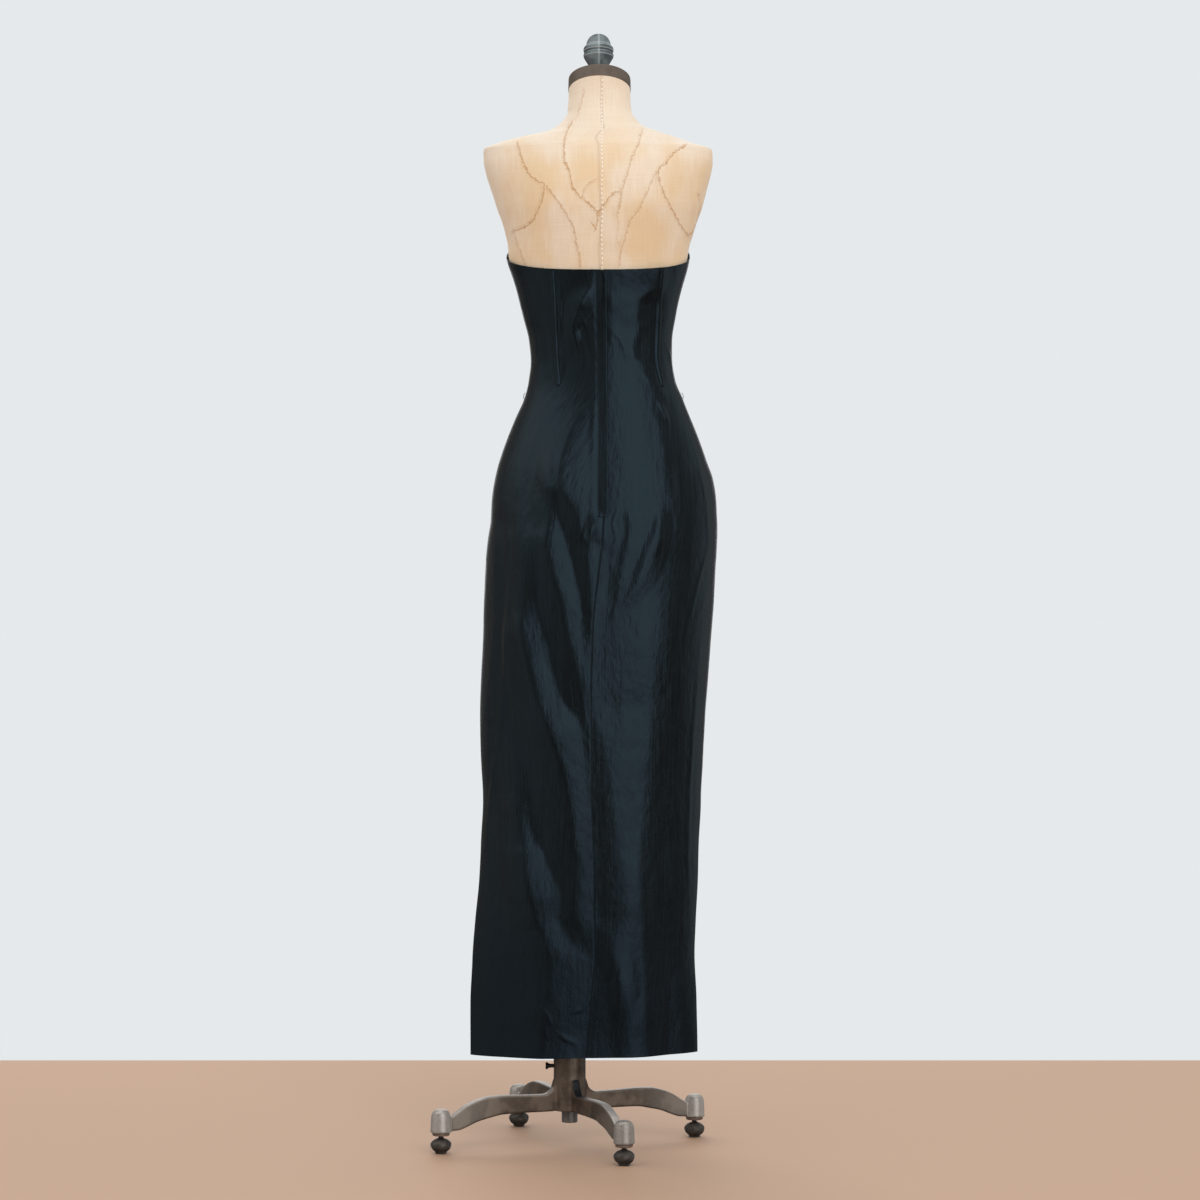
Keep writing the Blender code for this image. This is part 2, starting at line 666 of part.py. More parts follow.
CAP_RADIUS = 0.0502
CAP_HEIGHT = 0.0212
CAP_CROWN = 0.0012  # how much higher the cap's middle is than its rim
CAP_PROFILE = (  # radius, height above the neck's cut
    (0.0, 0.0),
    (CAP_RADIUS, 0.0),
    (CAP_RADIUS - 0.0003, CAP_HEIGHT * 0.86),
    (CAP_RADIUS - 0.0016, CAP_HEIGHT * 0.97),
    (CAP_RADIUS - 0.0040, CAP_HEIGHT),
    (0.0, CAP_HEIGHT + CAP_CROWN),
)
FINIAL_TILT = math.radians(10.0)
FINIAL_SHIFT = -0.0016  # how far along X the finial stands from the cap's middle
FINIAL_BEND = (0.0030, 0.0183)  # the heights between which its stem bends
FINIAL_PROFILE = (  # radius, height above the cap
    (0.0, 0.0),
    (0.0165, 0.0),
    (0.0165, 0.0030),
    (0.0105, 0.0055),
    (0.0105, 0.0133),
    (0.0150, 0.0188),
    (0.0172, 0.0233),
    (0.0205, 0.0289),
    (0.0238, 0.0349),
    (0.0240, 0.0389),
    (0.0222, 0.0419),
    (0.0240, 0.0449),
    (0.0236, 0.0499),
    (0.0202, 0.0539),
    (0.0192, 0.0574),
    (0.0180, 0.0614),
    (0.0150, 0.0664),
    (0.0095, 0.0709),
    (0.0, 0.0729),
)


def finial_mesh():
    """A turned acorn that stands on the tilted cap and leans less than it."""
    bm = turned_mesh(FINIAL_PROFILE, FINIAL_ROUND)
    lean = NECK_TILT - FINIAL_TILT
    for vert in bm.verts:
        share = ramp(vert.co.z, *FINIAL_BEND)
        vert.co.rotate(Matrix.Rotation(lean * share, 3, "X"))
    return bm


def add_form(parent, linen, wood, cap_metal, finial_metal):
    place = -parent.matrix_world.translation
    add_object("form_torso", form_mesh(), linen, place, parent)
    add_object("form_base_plate", base_plate_mesh(), wood, place, parent)
    neck = neck_axis()
    cap = turned_mesh(CAP_PROFILE, CAP_ROUND)
    bmesh.ops.transform(cap, verts=cap.verts, matrix=neck @ Matrix.Translation((0, 0, SEAM_GAP)))
    add_object("neck_cap", cap, cap_metal, place, parent)
    finial = finial_mesh()
    seat = Matrix.Translation((FINIAL_SHIFT, 0, CAP_HEIGHT + CAP_CROWN + 2 * SEAM_GAP))
    bmesh.ops.transform(finial, verts=finial.verts, matrix=neck @ seat)
    add_object("finial", finial, finial_metal, place, parent)


# ---------------------------------------------------------------- the post and its flange
ROUND = 24  # segments of the post, the hub and the flange
SMALL_ROUND = 16  # of a foot's socket and collar
CASTOR_ROUND = 14
SCREW_ROUND = 12
CAP_ROUND = 32
FINIAL_ROUND = 20


def add_post(parent, steel, iron):
    top = FORM_BOTTOM - PLATE_THICKNESS - 2 * SEAM_GAP
    flange_bottom = top - FLANGE_THICKNESS
    origin = parent.matrix_world.translation
    rod = (
        (0.0, POST_BOTTOM),
        (POST_RADIUS - POST_CHAMFER, POST_BOTTOM),
        (POST_RADIUS, POST_BOTTOM + POST_CHAMFER),
        (POST_RADIUS, flange_bottom - SEAM_GAP),
        (0.0, flange_bottom - SEAM_GAP),
    )
    flange = (
        (0.0, flange_bottom),
        (FLANGE_RADIUS - FLANGE_CHAMFER, flange_bottom),
        (FLANGE_RADIUS, flange_bottom + FLANGE_CHAMFER),
        (FLANGE_RADIUS, top),
        (0.0, top),
    )
    for name, profile, finish in (("post", rod, steel), ("post_flange", flange, iron)):
        mesh = turned_mesh(profile, ROUND)
        bmesh.ops.translate(mesh, verts=mesh.verts, vec=(POST_X - origin.x, 0.0, -origin.z))
        add_object(name, mesh, finish, parent=parent)


# ---------------------------------------------------------------- the stand
# A leg's side view, from the hub outwards.  reach is the distance from the post's axis.
LEG = table(
    "reach top bottom",
    (0.0260, 0.1080, 0.0570),
    (0.0285, 0.0980, 0.0565),
    (0.0340, 0.0890, 0.0562),
    (0.0450, 0.0835, 0.0562),
    (0.0800, 0.0845, 0.0566),
    (0.1150, 0.0858, 0.0560),
    (0.1380, 0.0852, 0.0520),
    (0.1590, 0.0809, 0.0470),
    (0.1780, 0.0735, 0.0395),
    (0.1920, 0.0645, 0.0350),
    (0.2026, 0.0560, 0.0343),
)
LEG_CHAMFER = 0.0030
SOCKET = (  # radius, height of the foot's cast socket
    (0.0, 0.0336),
    (0.0164, 0.0336),
    (0.0165, 0.0365),
    (0.0160, 0.0430),
    (0.0156, 0.0550),
    (0.0138, 0.0640),
    (0.0095, 0.0688),
    (0.0, 0.0700),
)
COLLAR = (  # the ring under the socket that the castor's stem turns in
    (0.0042, 0.0285),
    (0.0128, 0.0285),
    (0.0137, 0.0300),
    (0.0137, 0.0333),
    (0.0042, 0.0333),
)
CASTOR = (  # the castor: a flat foot, a pressed ball and its stem
    (0.0, 0.0),
    (0.0085, 0.0),
    (0.0092, 0.0030),
    (0.0135, 0.0065),
    (0.0160, 0.0105),
    (0.0165, 0.0140),
    (0.0152, 0.0185),
    (0.0110, 0.0225),
    (0.0050, 0.0243),
    (0.0037, 0.0255),
    (0.0037, 0.0330),
    (0.0, 0.0330),
)
FOOT_NAMES = ("a", "b", "c", "d")


def leg_mesh(direction):
    """A cast bar with cut corners, swept outwards along its side view."""
    across = Vector((-direction.y, direction.x, 0.0))
    wide, narrow = LEG_WIDTH / 2, LEG_WIDTH / 2 - LEG_CHAMFER
    bm = bmesh.new()
    rings = []
    for reach, top, bottom in LEG:
        under, over = bottom + LEG_CHAMFER, top - LEG_CHAMFER
        right = [(narrow, bottom), (wide, under), (wide, over), (narrow, top)]
        left = [(-side, z) for side, z in reversed(right)]
        points = [direction * reach + across * side + Vector((0, 0, z)) for side, z in right + left]
        rings.append([bm.verts.new(point) for point in points])
    skin_faces(bm, rings, closed=True)
    bm.faces.new(rings[0])
    bm.faces.new(rings[-1])
    return bm


SCREW_HOLE_RADIUS = 0.0036
SCREW_HOLE_REACH = 0.0400  # from the post's axis out past the hub's wall


def add_hub(iron):
    profile = (
        (BORE_RADIUS, HUB_BOTTOM),
        (HUB_RADIUS, HUB_BOTTOM),
        (HUB_RADIUS, HUB_TOP - HUB_CHAMFER),
        (HUB_RADIUS - HUB_CHAMFER, HUB_TOP),
        (BORE_RADIUS, HUB_TOP),
    )
    hub = add_object("hub", turned_mesh(profile, ROUND), iron, (POST_X, 0.0, 0.0))
    drill = bpy.data.objects.new("screw_hole_cutter", bpy.data.meshes.new("screw_hole_cutter"))
    bm = bmesh.new()
    turn = Matrix.Rotation(math.pi / 2, 4, "Y")
    place = Matrix.Translation((-SCREW_HOLE_REACH / 2, 0.0, SCREW_HEIGHT)) @ turn
    bmesh.ops.create_cone(bm, cap_ends=True, segments=SCREW_ROUND, radius1=SCREW_HOLE_RADIUS,
                          radius2=SCREW_HOLE_RADIUS, depth=SCREW_HOLE_REACH, matrix=place)
    bm.to_mesh(drill.data)
    bm.free()
    drill.location = (POST_X, 0.0, 0.0)
    drill.hide_render = True
    drill.display_type = "WIRE"
    bpy.context.collection.objects.link(drill)
    cut = hub.modifiers.new("screw_hole", "BOOLEAN")
    cut.operation = "DIFFERENCE"
    cut.object = drill
    return hub


SHANK_RADIUS = 0.0031
SHANK_START = POST_RADIUS + 0.0009  # the shank's tip, from the post's axis
KNOB_START = HUB_RADIUS + 0.0074  # where the knob starts
THUMBSCREW_PROFILE = (  # radius, distance from the post's axis
    (0.0, SHANK_START),
    (SHANK_RADIUS, SHANK_START),
    (SHANK_RADIUS, KNOB_START),
    (0.0052, KNOB_START + 0.0004),
    (0.0058, KNOB_START + 0.0020),
    (0.0056, KNOB_START + 0.0046),
    (0.0040, KNOB_START + 0.0054),
    (0.0, KNOB_START + 0.0056),
)


def add_thumbscrew(black):
    """A knob on a threaded shank that goes through the hub's wall to the post."""
    mesh = turned_mesh(THUMBSCREW_PROFILE, SCREW_ROUND)
    bmesh.ops.rotate(mesh, verts=mesh.verts, cent=(0, 0, 0), matrix=Matrix.Rotation(-math.pi / 2, 3, "Y"))
    add_object("thumbscrew", mesh, black, (POST_X, 0.0, SCREW_HEIGHT))


def add_stand(iron, rust, black):
    add_hub(iron)
    add_thumbscrew(black)
    for i, name in enumerate(FOOT_NAMES):
        turn = math.pi + LEG_ANGLE + i * math.pi / 2
        direction = Vector((math.cos(turn), math.sin(turn), 0.0))
        foot = direction * FOOT_CIRCLE + Vector((POST_X, 0.0, 0.0))
        add_object("leg_" + name, leg_mesh(direction), iron, (POST_X, 0.0, 0.0))
        add_object("foot_socket_" + name, turned_mesh(SOCKET, SMALL_ROUND), iron, foot)
        add_object("foot_collar_" + name, turned_mesh(COLLAR, SMALL_ROUND), rust, foot)
        add_object("castor_" + name, turned_mesh(CASTOR, CASTOR_ROUND), rust, foot)


# ---------------------------------------------------------------- the whole object
def main():
    for old in list(bpy.data.objects):
        bpy.data.objects.remove(old, do_unlink=True)

    satin = material("black_faille", (0.012, 0.018, 0.022), 0.42)
    coil = material("zip_coil", (0.010, 0.010, 0.012), 0.50)
    zip_metal = material("zip_metal", (0.30, 0.30, 0.31), 0.35, 1.0)
    linen = material("tan_linen", (0.66, 0.45, 0.25), 0.90)
    wood = material("plate_wood", (0.40, 0.26, 0.14), 0.70)
    cap_metal = material("brown_cap_metal", (0.20, 0.15, 0.11), 0.50, 0.6)
    finial_metal = material("grey_green_iron", (0.16, 0.19, 0.19), 0.50, 0.7)
    steel = material("post_steel", (0.45, 0.44, 0.42), 0.35, 1.0)
    iron = material("cast_iron", (0.30, 0.29, 0.27), 0.45, 0.8)
    rust = material("dark_castor_metal", (0.12, 0.10, 0.09), 0.50, 0.8)
    black = material("black_screw", (0.02, 0.02, 0.02), 0.45, 0.5)

    add_stand(iron, rust, black)
    post_axis = add_axis("post_axis", (POST_X, 0.0, SCREW_HEIGHT))
    form_axis = add_axis("form_axis", (0.0, 0.0, FORM_BOTTOM - SCREW_HEIGHT), post_axis)
    bpy.context.view_layer.update()
    add_post(post_axis, steel, iron)
    add_gown(form_axis, satin)
    add_bone_channels(form_axis, satin)
    add_zip(form_axis, satin, coil, zip_metal)
    add_form(form_axis, linen, wood, cap_metal, finial_metal)


main()
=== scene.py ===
# %% [markdown]
# # An evening gown on a dress form
# This lesson dresses a finished, jointed model of a strapless evening gown.  It hangs on a linen dress form
# with a cast stand.  The solid model is the fixed frame: each piece made here goes where its solid is, and
# rides on the same moving body.  We start with the frame and keep its size, because cloth may add folds but
# may not make the object bigger.

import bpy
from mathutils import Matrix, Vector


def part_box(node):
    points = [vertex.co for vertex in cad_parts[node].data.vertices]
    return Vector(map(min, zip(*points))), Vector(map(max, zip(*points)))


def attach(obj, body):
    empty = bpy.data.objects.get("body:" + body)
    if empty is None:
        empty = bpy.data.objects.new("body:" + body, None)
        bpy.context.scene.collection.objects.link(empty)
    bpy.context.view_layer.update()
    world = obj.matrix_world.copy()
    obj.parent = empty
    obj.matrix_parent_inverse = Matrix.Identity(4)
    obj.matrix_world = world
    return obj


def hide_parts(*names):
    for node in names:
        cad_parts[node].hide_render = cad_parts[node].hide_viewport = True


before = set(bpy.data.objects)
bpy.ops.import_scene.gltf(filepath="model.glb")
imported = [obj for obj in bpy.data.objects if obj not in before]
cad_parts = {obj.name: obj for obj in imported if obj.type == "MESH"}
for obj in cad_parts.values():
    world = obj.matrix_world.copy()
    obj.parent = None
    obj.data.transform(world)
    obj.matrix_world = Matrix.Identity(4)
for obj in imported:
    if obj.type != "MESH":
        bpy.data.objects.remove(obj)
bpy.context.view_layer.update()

# %% Tools of the trade
import math
from collections import namedtuple

import bmesh
import bpy
import numpy as np
from mathutils import Matrix, Vector, noise


def table(columns, *rows):
    """A table of numbers with named columns."""
    row_type = namedtuple("Row", columns)
    return tuple(row_type(*row) for row in rows)


def value_at(rule, z):
    """A rule is a function of height, or the same value at every height."""
    return rule(z) if callable(rule) else rule


def add_object(name, data):
    """A new object in the scene."""
    made = bpy.data.objects.new(name, data)
    bpy.context.scene.collection.objects.link(made)
    return made


def baked(carrier):
    """The mesh that an object's modifiers make of it.  The object is taken away."""
    mesh = bpy.data.meshes.new_from_object(carrier.evaluated_get(bpy.context.evaluated_depsgraph_get()))
    carrier.modifiers.clear()
    bpy.data.objects.remove(carrier)
    return mesh


# %% [markdown]
# ## The camera
# It stands level with the hips, far away behind the gown's back.  A long lens at a distance keeps upright
# lines upright, as shops do when they show clothes.

# %% Camera
lens = bpy.data.cameras.new("portrait_lens")
lens.lens = 105
lens.sensor_width = 36
camera = add_object("camera", lens)
camera.location = (0.040, -5.6, 0.872)
camera.rotation_euler = (math.radians(90), 0, 0)
bpy.context.scene.camera = camera
print("camera at", tuple(round(c, 3) for c in camera.location))

# %% [markdown]
# ## Adding shader nodes in one line
# Every material here is a node tree built in code.  One helper adds a node, sets it, and joins its inputs:
# an input is either a plain value or another node's output.

# %% Node helper
def feed(tree, socket, value):
    """Joins another node's output to a socket, or gives it a plain value.  Colours are (r, g, b)."""
    if isinstance(value, bpy.types.NodeSocket):
        tree.links.new(value, socket)
    else:
        socket.default_value = (*value, 1.0) if socket.type == "RGBA" else value


def put(tree, kind, inputs=None, **settings):
    """Adds a node to a tree.  inputs holds values or other nodes' outputs, by socket name or index."""
    node = tree.nodes.new(kind)
    for name, value in settings.items():
        setattr(node, name, value)
    for name, value in (inputs or {}).items():
        feed(tree, node.inputs[name], value)
    return node


def calc(tree, operation, *values):
    """A Math node's result."""
    return put(tree, "ShaderNodeMath", dict(enumerate(values)), operation=operation).outputs[0]


def blend(tree, share, first, second):
    """A mix of two colours."""
    return put(tree, "ShaderNodeMix", {0: share, 6: first, 7: second}, data_type="RGBA").outputs[2]


def remap(tree, value, low, high, to_low=0.0, to_high=1.0, smooth=True):
    """Moves a range of values to another range and stops at its ends."""
    return put(tree, "ShaderNodeMapRange", {0: value, 1: low, 2: high, 3: to_low, 4: to_high},
               interpolation_type="SMOOTHSTEP" if smooth else "LINEAR").outputs[0]


def bump(tree, shader, height, strength, distance, under=None):
    """Wrinkles a shader's normal by a height, over an earlier bump's normal if there is one."""
    inputs = {"Height": height, "Strength": strength, "Distance": distance}
    if under is not None:
        inputs["Normal"] = under
    normal = put(tree, "ShaderNodeBump", inputs).outputs[0]
    feed(tree, shader.inputs["Normal"], normal)
    return normal


def new_finish(name, roughness, metallic=0.0):
    """A plain material, with its tree and its shader."""
    made = bpy.data.materials.new(name)
    made.use_nodes = True
    shader = made.node_tree.nodes["Principled BSDF"]
    shader.inputs["Roughness"].default_value = roughness
    shader.inputs["Metallic"].default_value = metallic
    return made, made.node_tree, shader


def colour(hex_code):
    """A screen colour such as b08040 as the linear numbers that shaders use."""
    parts = [int(hex_code[i:i + 2], 16) / 255 for i in (0, 2, 4)]
    return tuple(p / 12.92 if p <= 0.04045 else ((p + 0.055) / 1.055) ** 2.4 for p in parts)


# %% [markdown]
# ## Floor and light
# Black silk shows what it mirrors, so its light is designed as a room of soft panels.  The world holds
# them: a tall one to the right draws the crisp sheen, broad soft ones to the left light the hips, one
# stands at the right side, two light the gown's front, and one is the ceiling.  Matt pieces such as linen
# take an even, pale light instead.  The Light Path node sends each kind of ray to its own part of the
# world.

# %% Floor
bpy.context.scene.view_settings.view_transform = "Standard"
FLOOR_CORNERS = ((-4.5, -6.5, 0), (4.5, -6.5, 0), (4.5, 1.03, 0), (-4.5, 1.03, 0))
floor_mesh = bpy.data.meshes.new("floor")
floor_mesh.from_pydata(FLOOR_CORNERS, [], [(0, 1, 2, 3)])
floor = add_object("floor", floor_mesh)
floor.visible_glossy = False
floor_paint, tree, shader = new_finish("floor_paint", 0.6)
feed(tree, shader.inputs["Base Color"], colour("b49379"))
floor_mesh.materials.append(floor_paint)

# %% Light panels in the world
# Each panel is a box of directions: azimuth 0 is behind the gown's back, to the right is positive.
PANELS = table(
    "azimuth half_width low high edge fade strength red green blue",
    (27, 23, -34, -10, 1.5, 6, 0.15, 0.96, 1.00, 0.97),
    (27, 23, -19, 52, 1.5, 5, 0.93, 0.96, 1.00, 1.00),
    (-70, 36, 13, 60, 20, 15, 0.71, 0.96, 1.00, 0.96),
    (-66, 34, -40, 12, 20, 14, 0.26, 0.96, 1.00, 0.96),
    (112, 20, -40, 50, 8, 8, 0.33, 0.88, 1.00, 1.00),
    (180, 18, -16, 50, 4, 8, 0.80, 1.00, 1.00, 1.00),
    (-140, 14, -10, 45, 6, 8, 0.14, 1.00, 0.95, 0.85),
    (0, 181, 66, 96, 2, 6, 1.10, 1.00, 1.00, 1.00),
)
world = bpy.data.worlds.new("studio")
bpy.context.scene.world = world
world.use_nodes = True
tree = world.node_tree
tree.nodes.clear()
direction = put(tree, "ShaderNodeTexCoord").outputs["Generated"]
parts = put(tree, "ShaderNodeSeparateXYZ", {0: direction}).outputs
turn = calc(tree, "ARCTAN2", parts["X"], calc(tree, "MULTIPLY", parts["Y"], -1.0))
azimuth = calc(tree, "DEGREES", turn)
height = calc(tree, "DEGREES", calc(tree, "ARCSINE", parts["Z"]))
mirrored = blend(tree, remap(tree, height, -17.0, -7.0), (0.03, 0.027, 0.027), (0.135, 0.135, 0.14))
for panel in PANELS:
    turned = calc(tree, "SUBTRACT", azimuth, float(panel.azimuth))
    turned = calc(tree, "ABSOLUTE", calc(tree, "WRAP", turned, 180.0, -180.0))
    across = remap(tree, turned, panel.half_width - panel.edge, panel.half_width + panel.edge, 1.0, 0.0)
    above = remap(tree, height, panel.low - panel.fade, panel.low + panel.fade)
    below = remap(tree, height, panel.high - panel.fade, panel.high + panel.fade, 1.0, 0.0)
    mask = calc(tree, "MULTIPLY", across, calc(tree, "MULTIPLY", above, below))
    shine = tuple(panel.strength * part for part in (panel.red, panel.green, panel.blue))
    mirrored = blend(tree, mask, mirrored, shine)
ambient = blend(tree, remap(tree, height, -30.0, 60.0), (0.72, 0.68, 0.63), (1.12, 1.15, 1.20))
rays = put(tree, "ShaderNodeLightPath").outputs
seen = blend(tree, rays["Is Glossy Ray"], ambient, mirrored)
seen = blend(tree, rays["Is Camera Ray"], seen, colour("e5e9eb"))
shine = put(tree, "ShaderNodeBackground", {"Color": seen})
put(tree, "ShaderNodeOutputWorld", {"Surface": shine.outputs[0]})
print("light panels:", len(PANELS))

# %% Two soft lamps for the matt pieces
LAMPS = table("name place energy", ("back_lamp", (1.0, -3.9, 3.3), 70), ("front_lamp", (-1.1, 3.9, 3.3), 80))
LAMP_WIDTH, LAMP_HEIGHT, LAMP_TARGET = 2.6, 2.2, Vector((0.04, 0, 1.2))
for row in LAMPS:
    light = bpy.data.lights.new(row.name, "AREA")
    light.shape = "RECTANGLE"
    light.size, light.size_y, light.energy = LAMP_WIDTH, LAMP_HEIGHT, row.energy
    lamp = add_object(row.name, light)
    lamp.location = row.place
    lamp.rotation_euler = (LAMP_TARGET - lamp.location).to_track_quat("-Z", "Y").to_euler()
    lamp.visible_camera = lamp.visible_glossy = False

# %% [markdown]
# ## The figure's sections
# A gown is fitted to a figure, so one set of numbers carries both.  Each row of the table is a flat section
# of the figure at one height, and smooth curves through the rows fill the rest.  These are the solid
# model's own rows, so the cloth made from them lies exactly on its solid.

# %% Sections
SECTIONS = table(
    "height middle half_width front back roundness",
    (0.140, 0.0144, 0.1804, 0.064, 0.064, 1.60),
    (0.152, 0.0144, 0.1804, 0.064, 0.064, 1.60),
    (0.232, 0.0136, 0.1796, 0.068, 0.069, 1.50),
    (0.296, 0.0136, 0.1764, 0.072, 0.073, 1.42),
    (0.360, 0.0168, 0.1748, 0.076, 0.078, 1.36),
    (0.424, 0.0216, 0.1732, 0.080, 0.083, 1.30),
    (0.488, 0.0240, 0.1724, 0.084, 0.088, 1.24),
    (0.552, 0.0272, 0.1724, 0.088, 0.094, 1.18),
    (0.616, 0.0272, 0.1756, 0.091, 0.100, 1.12),
    (0.680, 0.0280, 0.1780, 0.094, 0.106, 1.07),
    (0.744, 0.0312, 0.1796, 0.097, 0.112, 1.03),
    (0.808, 0.0352, 0.1804, 0.100, 0.117, 1.00),
    (0.872, 0.0384, 0.1820, 0.103, 0.122, 0.98),
    (0.936, 0.0416, 0.1820, 0.106, 0.126, 0.96),
    (0.968, 0.0440, 0.1812, 0.108, 0.128, 0.95),
    (1.000, 0.0464, 0.1788, 0.110, 0.128, 0.94),
    (1.032, 0.0464, 0.1772, 0.111, 0.125, 0.93),
    (1.064, 0.0464, 0.1724, 0.111, 0.119, 0.93),
    (1.096, 0.0448, 0.1628, 0.109, 0.110, 0.93),
    (1.128, 0.0448, 0.1516, 0.106, 0.100, 0.94),
    (1.160, 0.0448, 0.1388, 0.102, 0.090, 0.95),
    (1.192, 0.0456, 0.1252, 0.097, 0.082, 0.96),
    (1.224, 0.0432, 0.1148, 0.092, 0.077, 0.97),
    (1.256, 0.0424, 0.1108, 0.089, 0.076, 0.98),
    (1.288, 0.0408, 0.1124, 0.089, 0.078, 0.97),
    (1.320, 0.0392, 0.1188, 0.092, 0.082, 0.95),
    (1.352, 0.0384, 0.1260, 0.098, 0.087, 0.93),
    (1.384, 0.0384, 0.1340, 0.105, 0.092, 0.91),
    (1.419, 0.0370, 0.1428, 0.108, 0.097, 0.90),
    (1.438, 0.0380, 0.1452, 0.106, 0.100, 0.90),
    (1.458, 0.0390, 0.1504, 0.102, 0.102, 0.90),
    (1.477, 0.0392, 0.1560, 0.097, 0.104, 0.90),
    (1.496, 0.0392, 0.1632, 0.091, 0.105, 0.90),
    (1.515, 0.0388, 0.1688, 0.084, 0.104, 0.90),
    (1.534, 0.0380, 0.1744, 0.077, 0.102, 0.90),
    (1.554, 0.0376, 0.1800, 0.070, 0.098, 0.90),
    (1.573, 0.0372, 0.1832, 0.064, 0.092, 0.92),
    (1.584, 0.0368, 0.1832, 0.061, 0.087, 0.94),
    (1.592, 0.0362, 0.1824, 0.060, 0.083, 0.95),
    (1.601, 0.0322, 0.1587, 0.060, 0.076, 0.96),
    (1.611, 0.0367, 0.1262, 0.061, 0.069, 0.97),
    (1.621, 0.0440, 0.0880, 0.063, 0.062, 0.98),
    (1.630, 0.0402, 0.0692, 0.066, 0.055, 1.00),
    (1.640, 0.0406, 0.0596, 0.068, 0.049, 1.00),
    (1.650, 0.0398, 0.0526, 0.069, 0.043, 1.00),
    (1.659, 0.0392, 0.0526, 0.070, 0.039, 1.00),
    (1.669, 0.0390, 0.0512, 0.071, 0.036, 1.00),
    (1.678, 0.0390, 0.0502, 0.072, 0.033, 1.00),
    (1.690, 0.0392, 0.0500, 0.073, 0.030, 1.00),
)
CENTRE_BACK = table(
    "height x",
    (0.140, 0.0163), (0.232, 0.0242), (0.312, 0.0305), (0.424, 0.0305), (0.584, 0.0258), (0.712, 0.0258),
    (0.808, 0.0274), (0.936, 0.0400), (1.002, 0.0455), (1.120, 0.0455), (1.280, 0.0440), (1.390, 0.0430),
)
LEFT_SEAM = table(
    "height reach",
    (0.140, 0.000), (0.440, 0.000), (0.540, 0.006), (0.680, 0.012), (0.780, 0.006), (0.880, 0.000),
    (1.480, 0.000),
)
SWELLS = table(
    "side x height reach_x reach_z swell",
    (+1, -0.072, 1.392, 0.052, 0.056, 0.030),
    (+1, +0.072, 1.392, 0.052, 0.056, 0.030),
    (-1, -0.078, 1.500, 0.050, 0.060, 0.006),
    (-1, +0.078, 1.500, 0.050, 0.060, 0.006),
)

# %% Smooth curves through a table
def smooth_through(heights, values):
    """A function of height: a cubic through the values that never swings past them."""
    z, value = np.array(heights, float), np.array(values, float)
    step = np.diff(z)
    secant = np.diff(value) / step
    slope = np.zeros(len(z))
    for i in range(1, len(z) - 1):
        if secant[i - 1] * secant[i] > 0:
            before, after = 2 * step[i] + step[i - 1], step[i] + 2 * step[i - 1]
            slope[i] = (before + after) / (before / secant[i - 1] + after / secant[i])
    slope[0], slope[-1] = secant[0], secant[-1]

    def at(height):
        """The curve's value, which stays level past its ends."""
        height = np.clip(height, z[0], z[-1])
        i = np.clip(np.searchsorted(z, height) - 1, 0, len(z) - 2)
        s = (height - z[i]) / step[i]
        rise = s * s * (3 - 2 * s)
        bend = slope[i] * s * (1 - s) ** 2 - slope[i + 1] * s * s * (1 - s)
        return value[i] * (1 - rise) + value[i + 1] * rise + step[i] * bend

    return at


def smooth_column(rows, column):
    """A smooth curve through one column of a table, by height."""
    return smooth_through([row.height for row in rows], [getattr(row, column) for row in rows])


middle_at = smooth_column(SECTIONS, "middle")
half_width_at = smooth_column(SECTIONS, "half_width")
front_at = smooth_column(SECTIONS, "front")
back_at = smooth_column(SECTIONS, "back")
roundness_at = smooth_column(SECTIONS, "roundness")
centre_back_at = smooth_column(CENTRE_BACK, "x")
left_reach_at = smooth_column(LEFT_SEAM, "reach")
print("hip width at 1.000 m:", round(2 * float(half_width_at(1.0)), 3))

# %% Points of the figure
# An angle goes once round: 0 is the left side, pi/2 the back, pi the right side and 3pi/2 the front.
def ramp(value, start, end):
    """0 before start, 1 after end, smooth between them."""
    s = np.clip((value - start) / (end - start), 0.0, 1.0)
    return s * s * (3 - 2 * s)


def section_xy(angle, z, tuck=0.0):
    """Points (x, y) round the figure, tucked inwards a little where a cover or a plate needs it."""
    angle, z = np.broadcast_arrays(angle, z)
    wave = np.sin(angle)
    half = half_width_at(z) - tuck
    depth = np.where(wave >= 0, back_at(z), front_at(z)) - tuck
    x = middle_at(z) - half * np.cos(angle)
    y = -np.sign(wave) * depth * np.abs(wave) ** roundness_at(z)
    side = np.where(wave >= 0, -1, 1)
    for row in SWELLS:
        across = (x - middle_at(z) - row.x) / row.reach_x
        up = (z - row.height) / row.reach_z
        fade = np.minimum(1.0, np.abs(wave) * 2.5)
        y = y + np.where(side == row.side, row.side * row.swell * np.exp(-(across**2 + up**2)) * fade, 0.0)
    return np.stack([x, y], axis=-1)


def outward(angle, z):
    """The direction that leaves a section squarely."""
    along = section_xy(angle + 0.02, z) - section_xy(angle - 0.02, z)
    along /= np.linalg.norm(along, axis=-1, keepdims=True)
    return np.stack([along[..., 1], -along[..., 0]], axis=-1)


def angle_at_x(x, z):
    """The angle of the back point that has this X."""
    return np.arccos(np.clip((middle_at(z) - x) / half_width_at(z), -1.0, 1.0))


def left_seam(z):
    """The left seam's angle, where the cloth has reached a little way round from the side."""
    steps = np.arange(0.0, 0.8, 0.01)
    xy = section_xy(steps, z)
    run = np.concatenate([[0.0], np.cumsum(np.linalg.norm(np.diff(xy, axis=0), axis=1))])
    return float(np.interp(left_reach_at(z), run, steps))


def centre_back(z):
    """The angle of the seam below the zip, and of the zip."""
    return float(angle_at_x(centre_back_at(z), z))


RIGHT_SEAM = math.pi
BACK_TOP, SIDE_TOP, FRONT_TOP = 1.392, 1.4176, 1.4640
HEM_LEFT, HEM_RIGHT = 0.1450, 0.1498


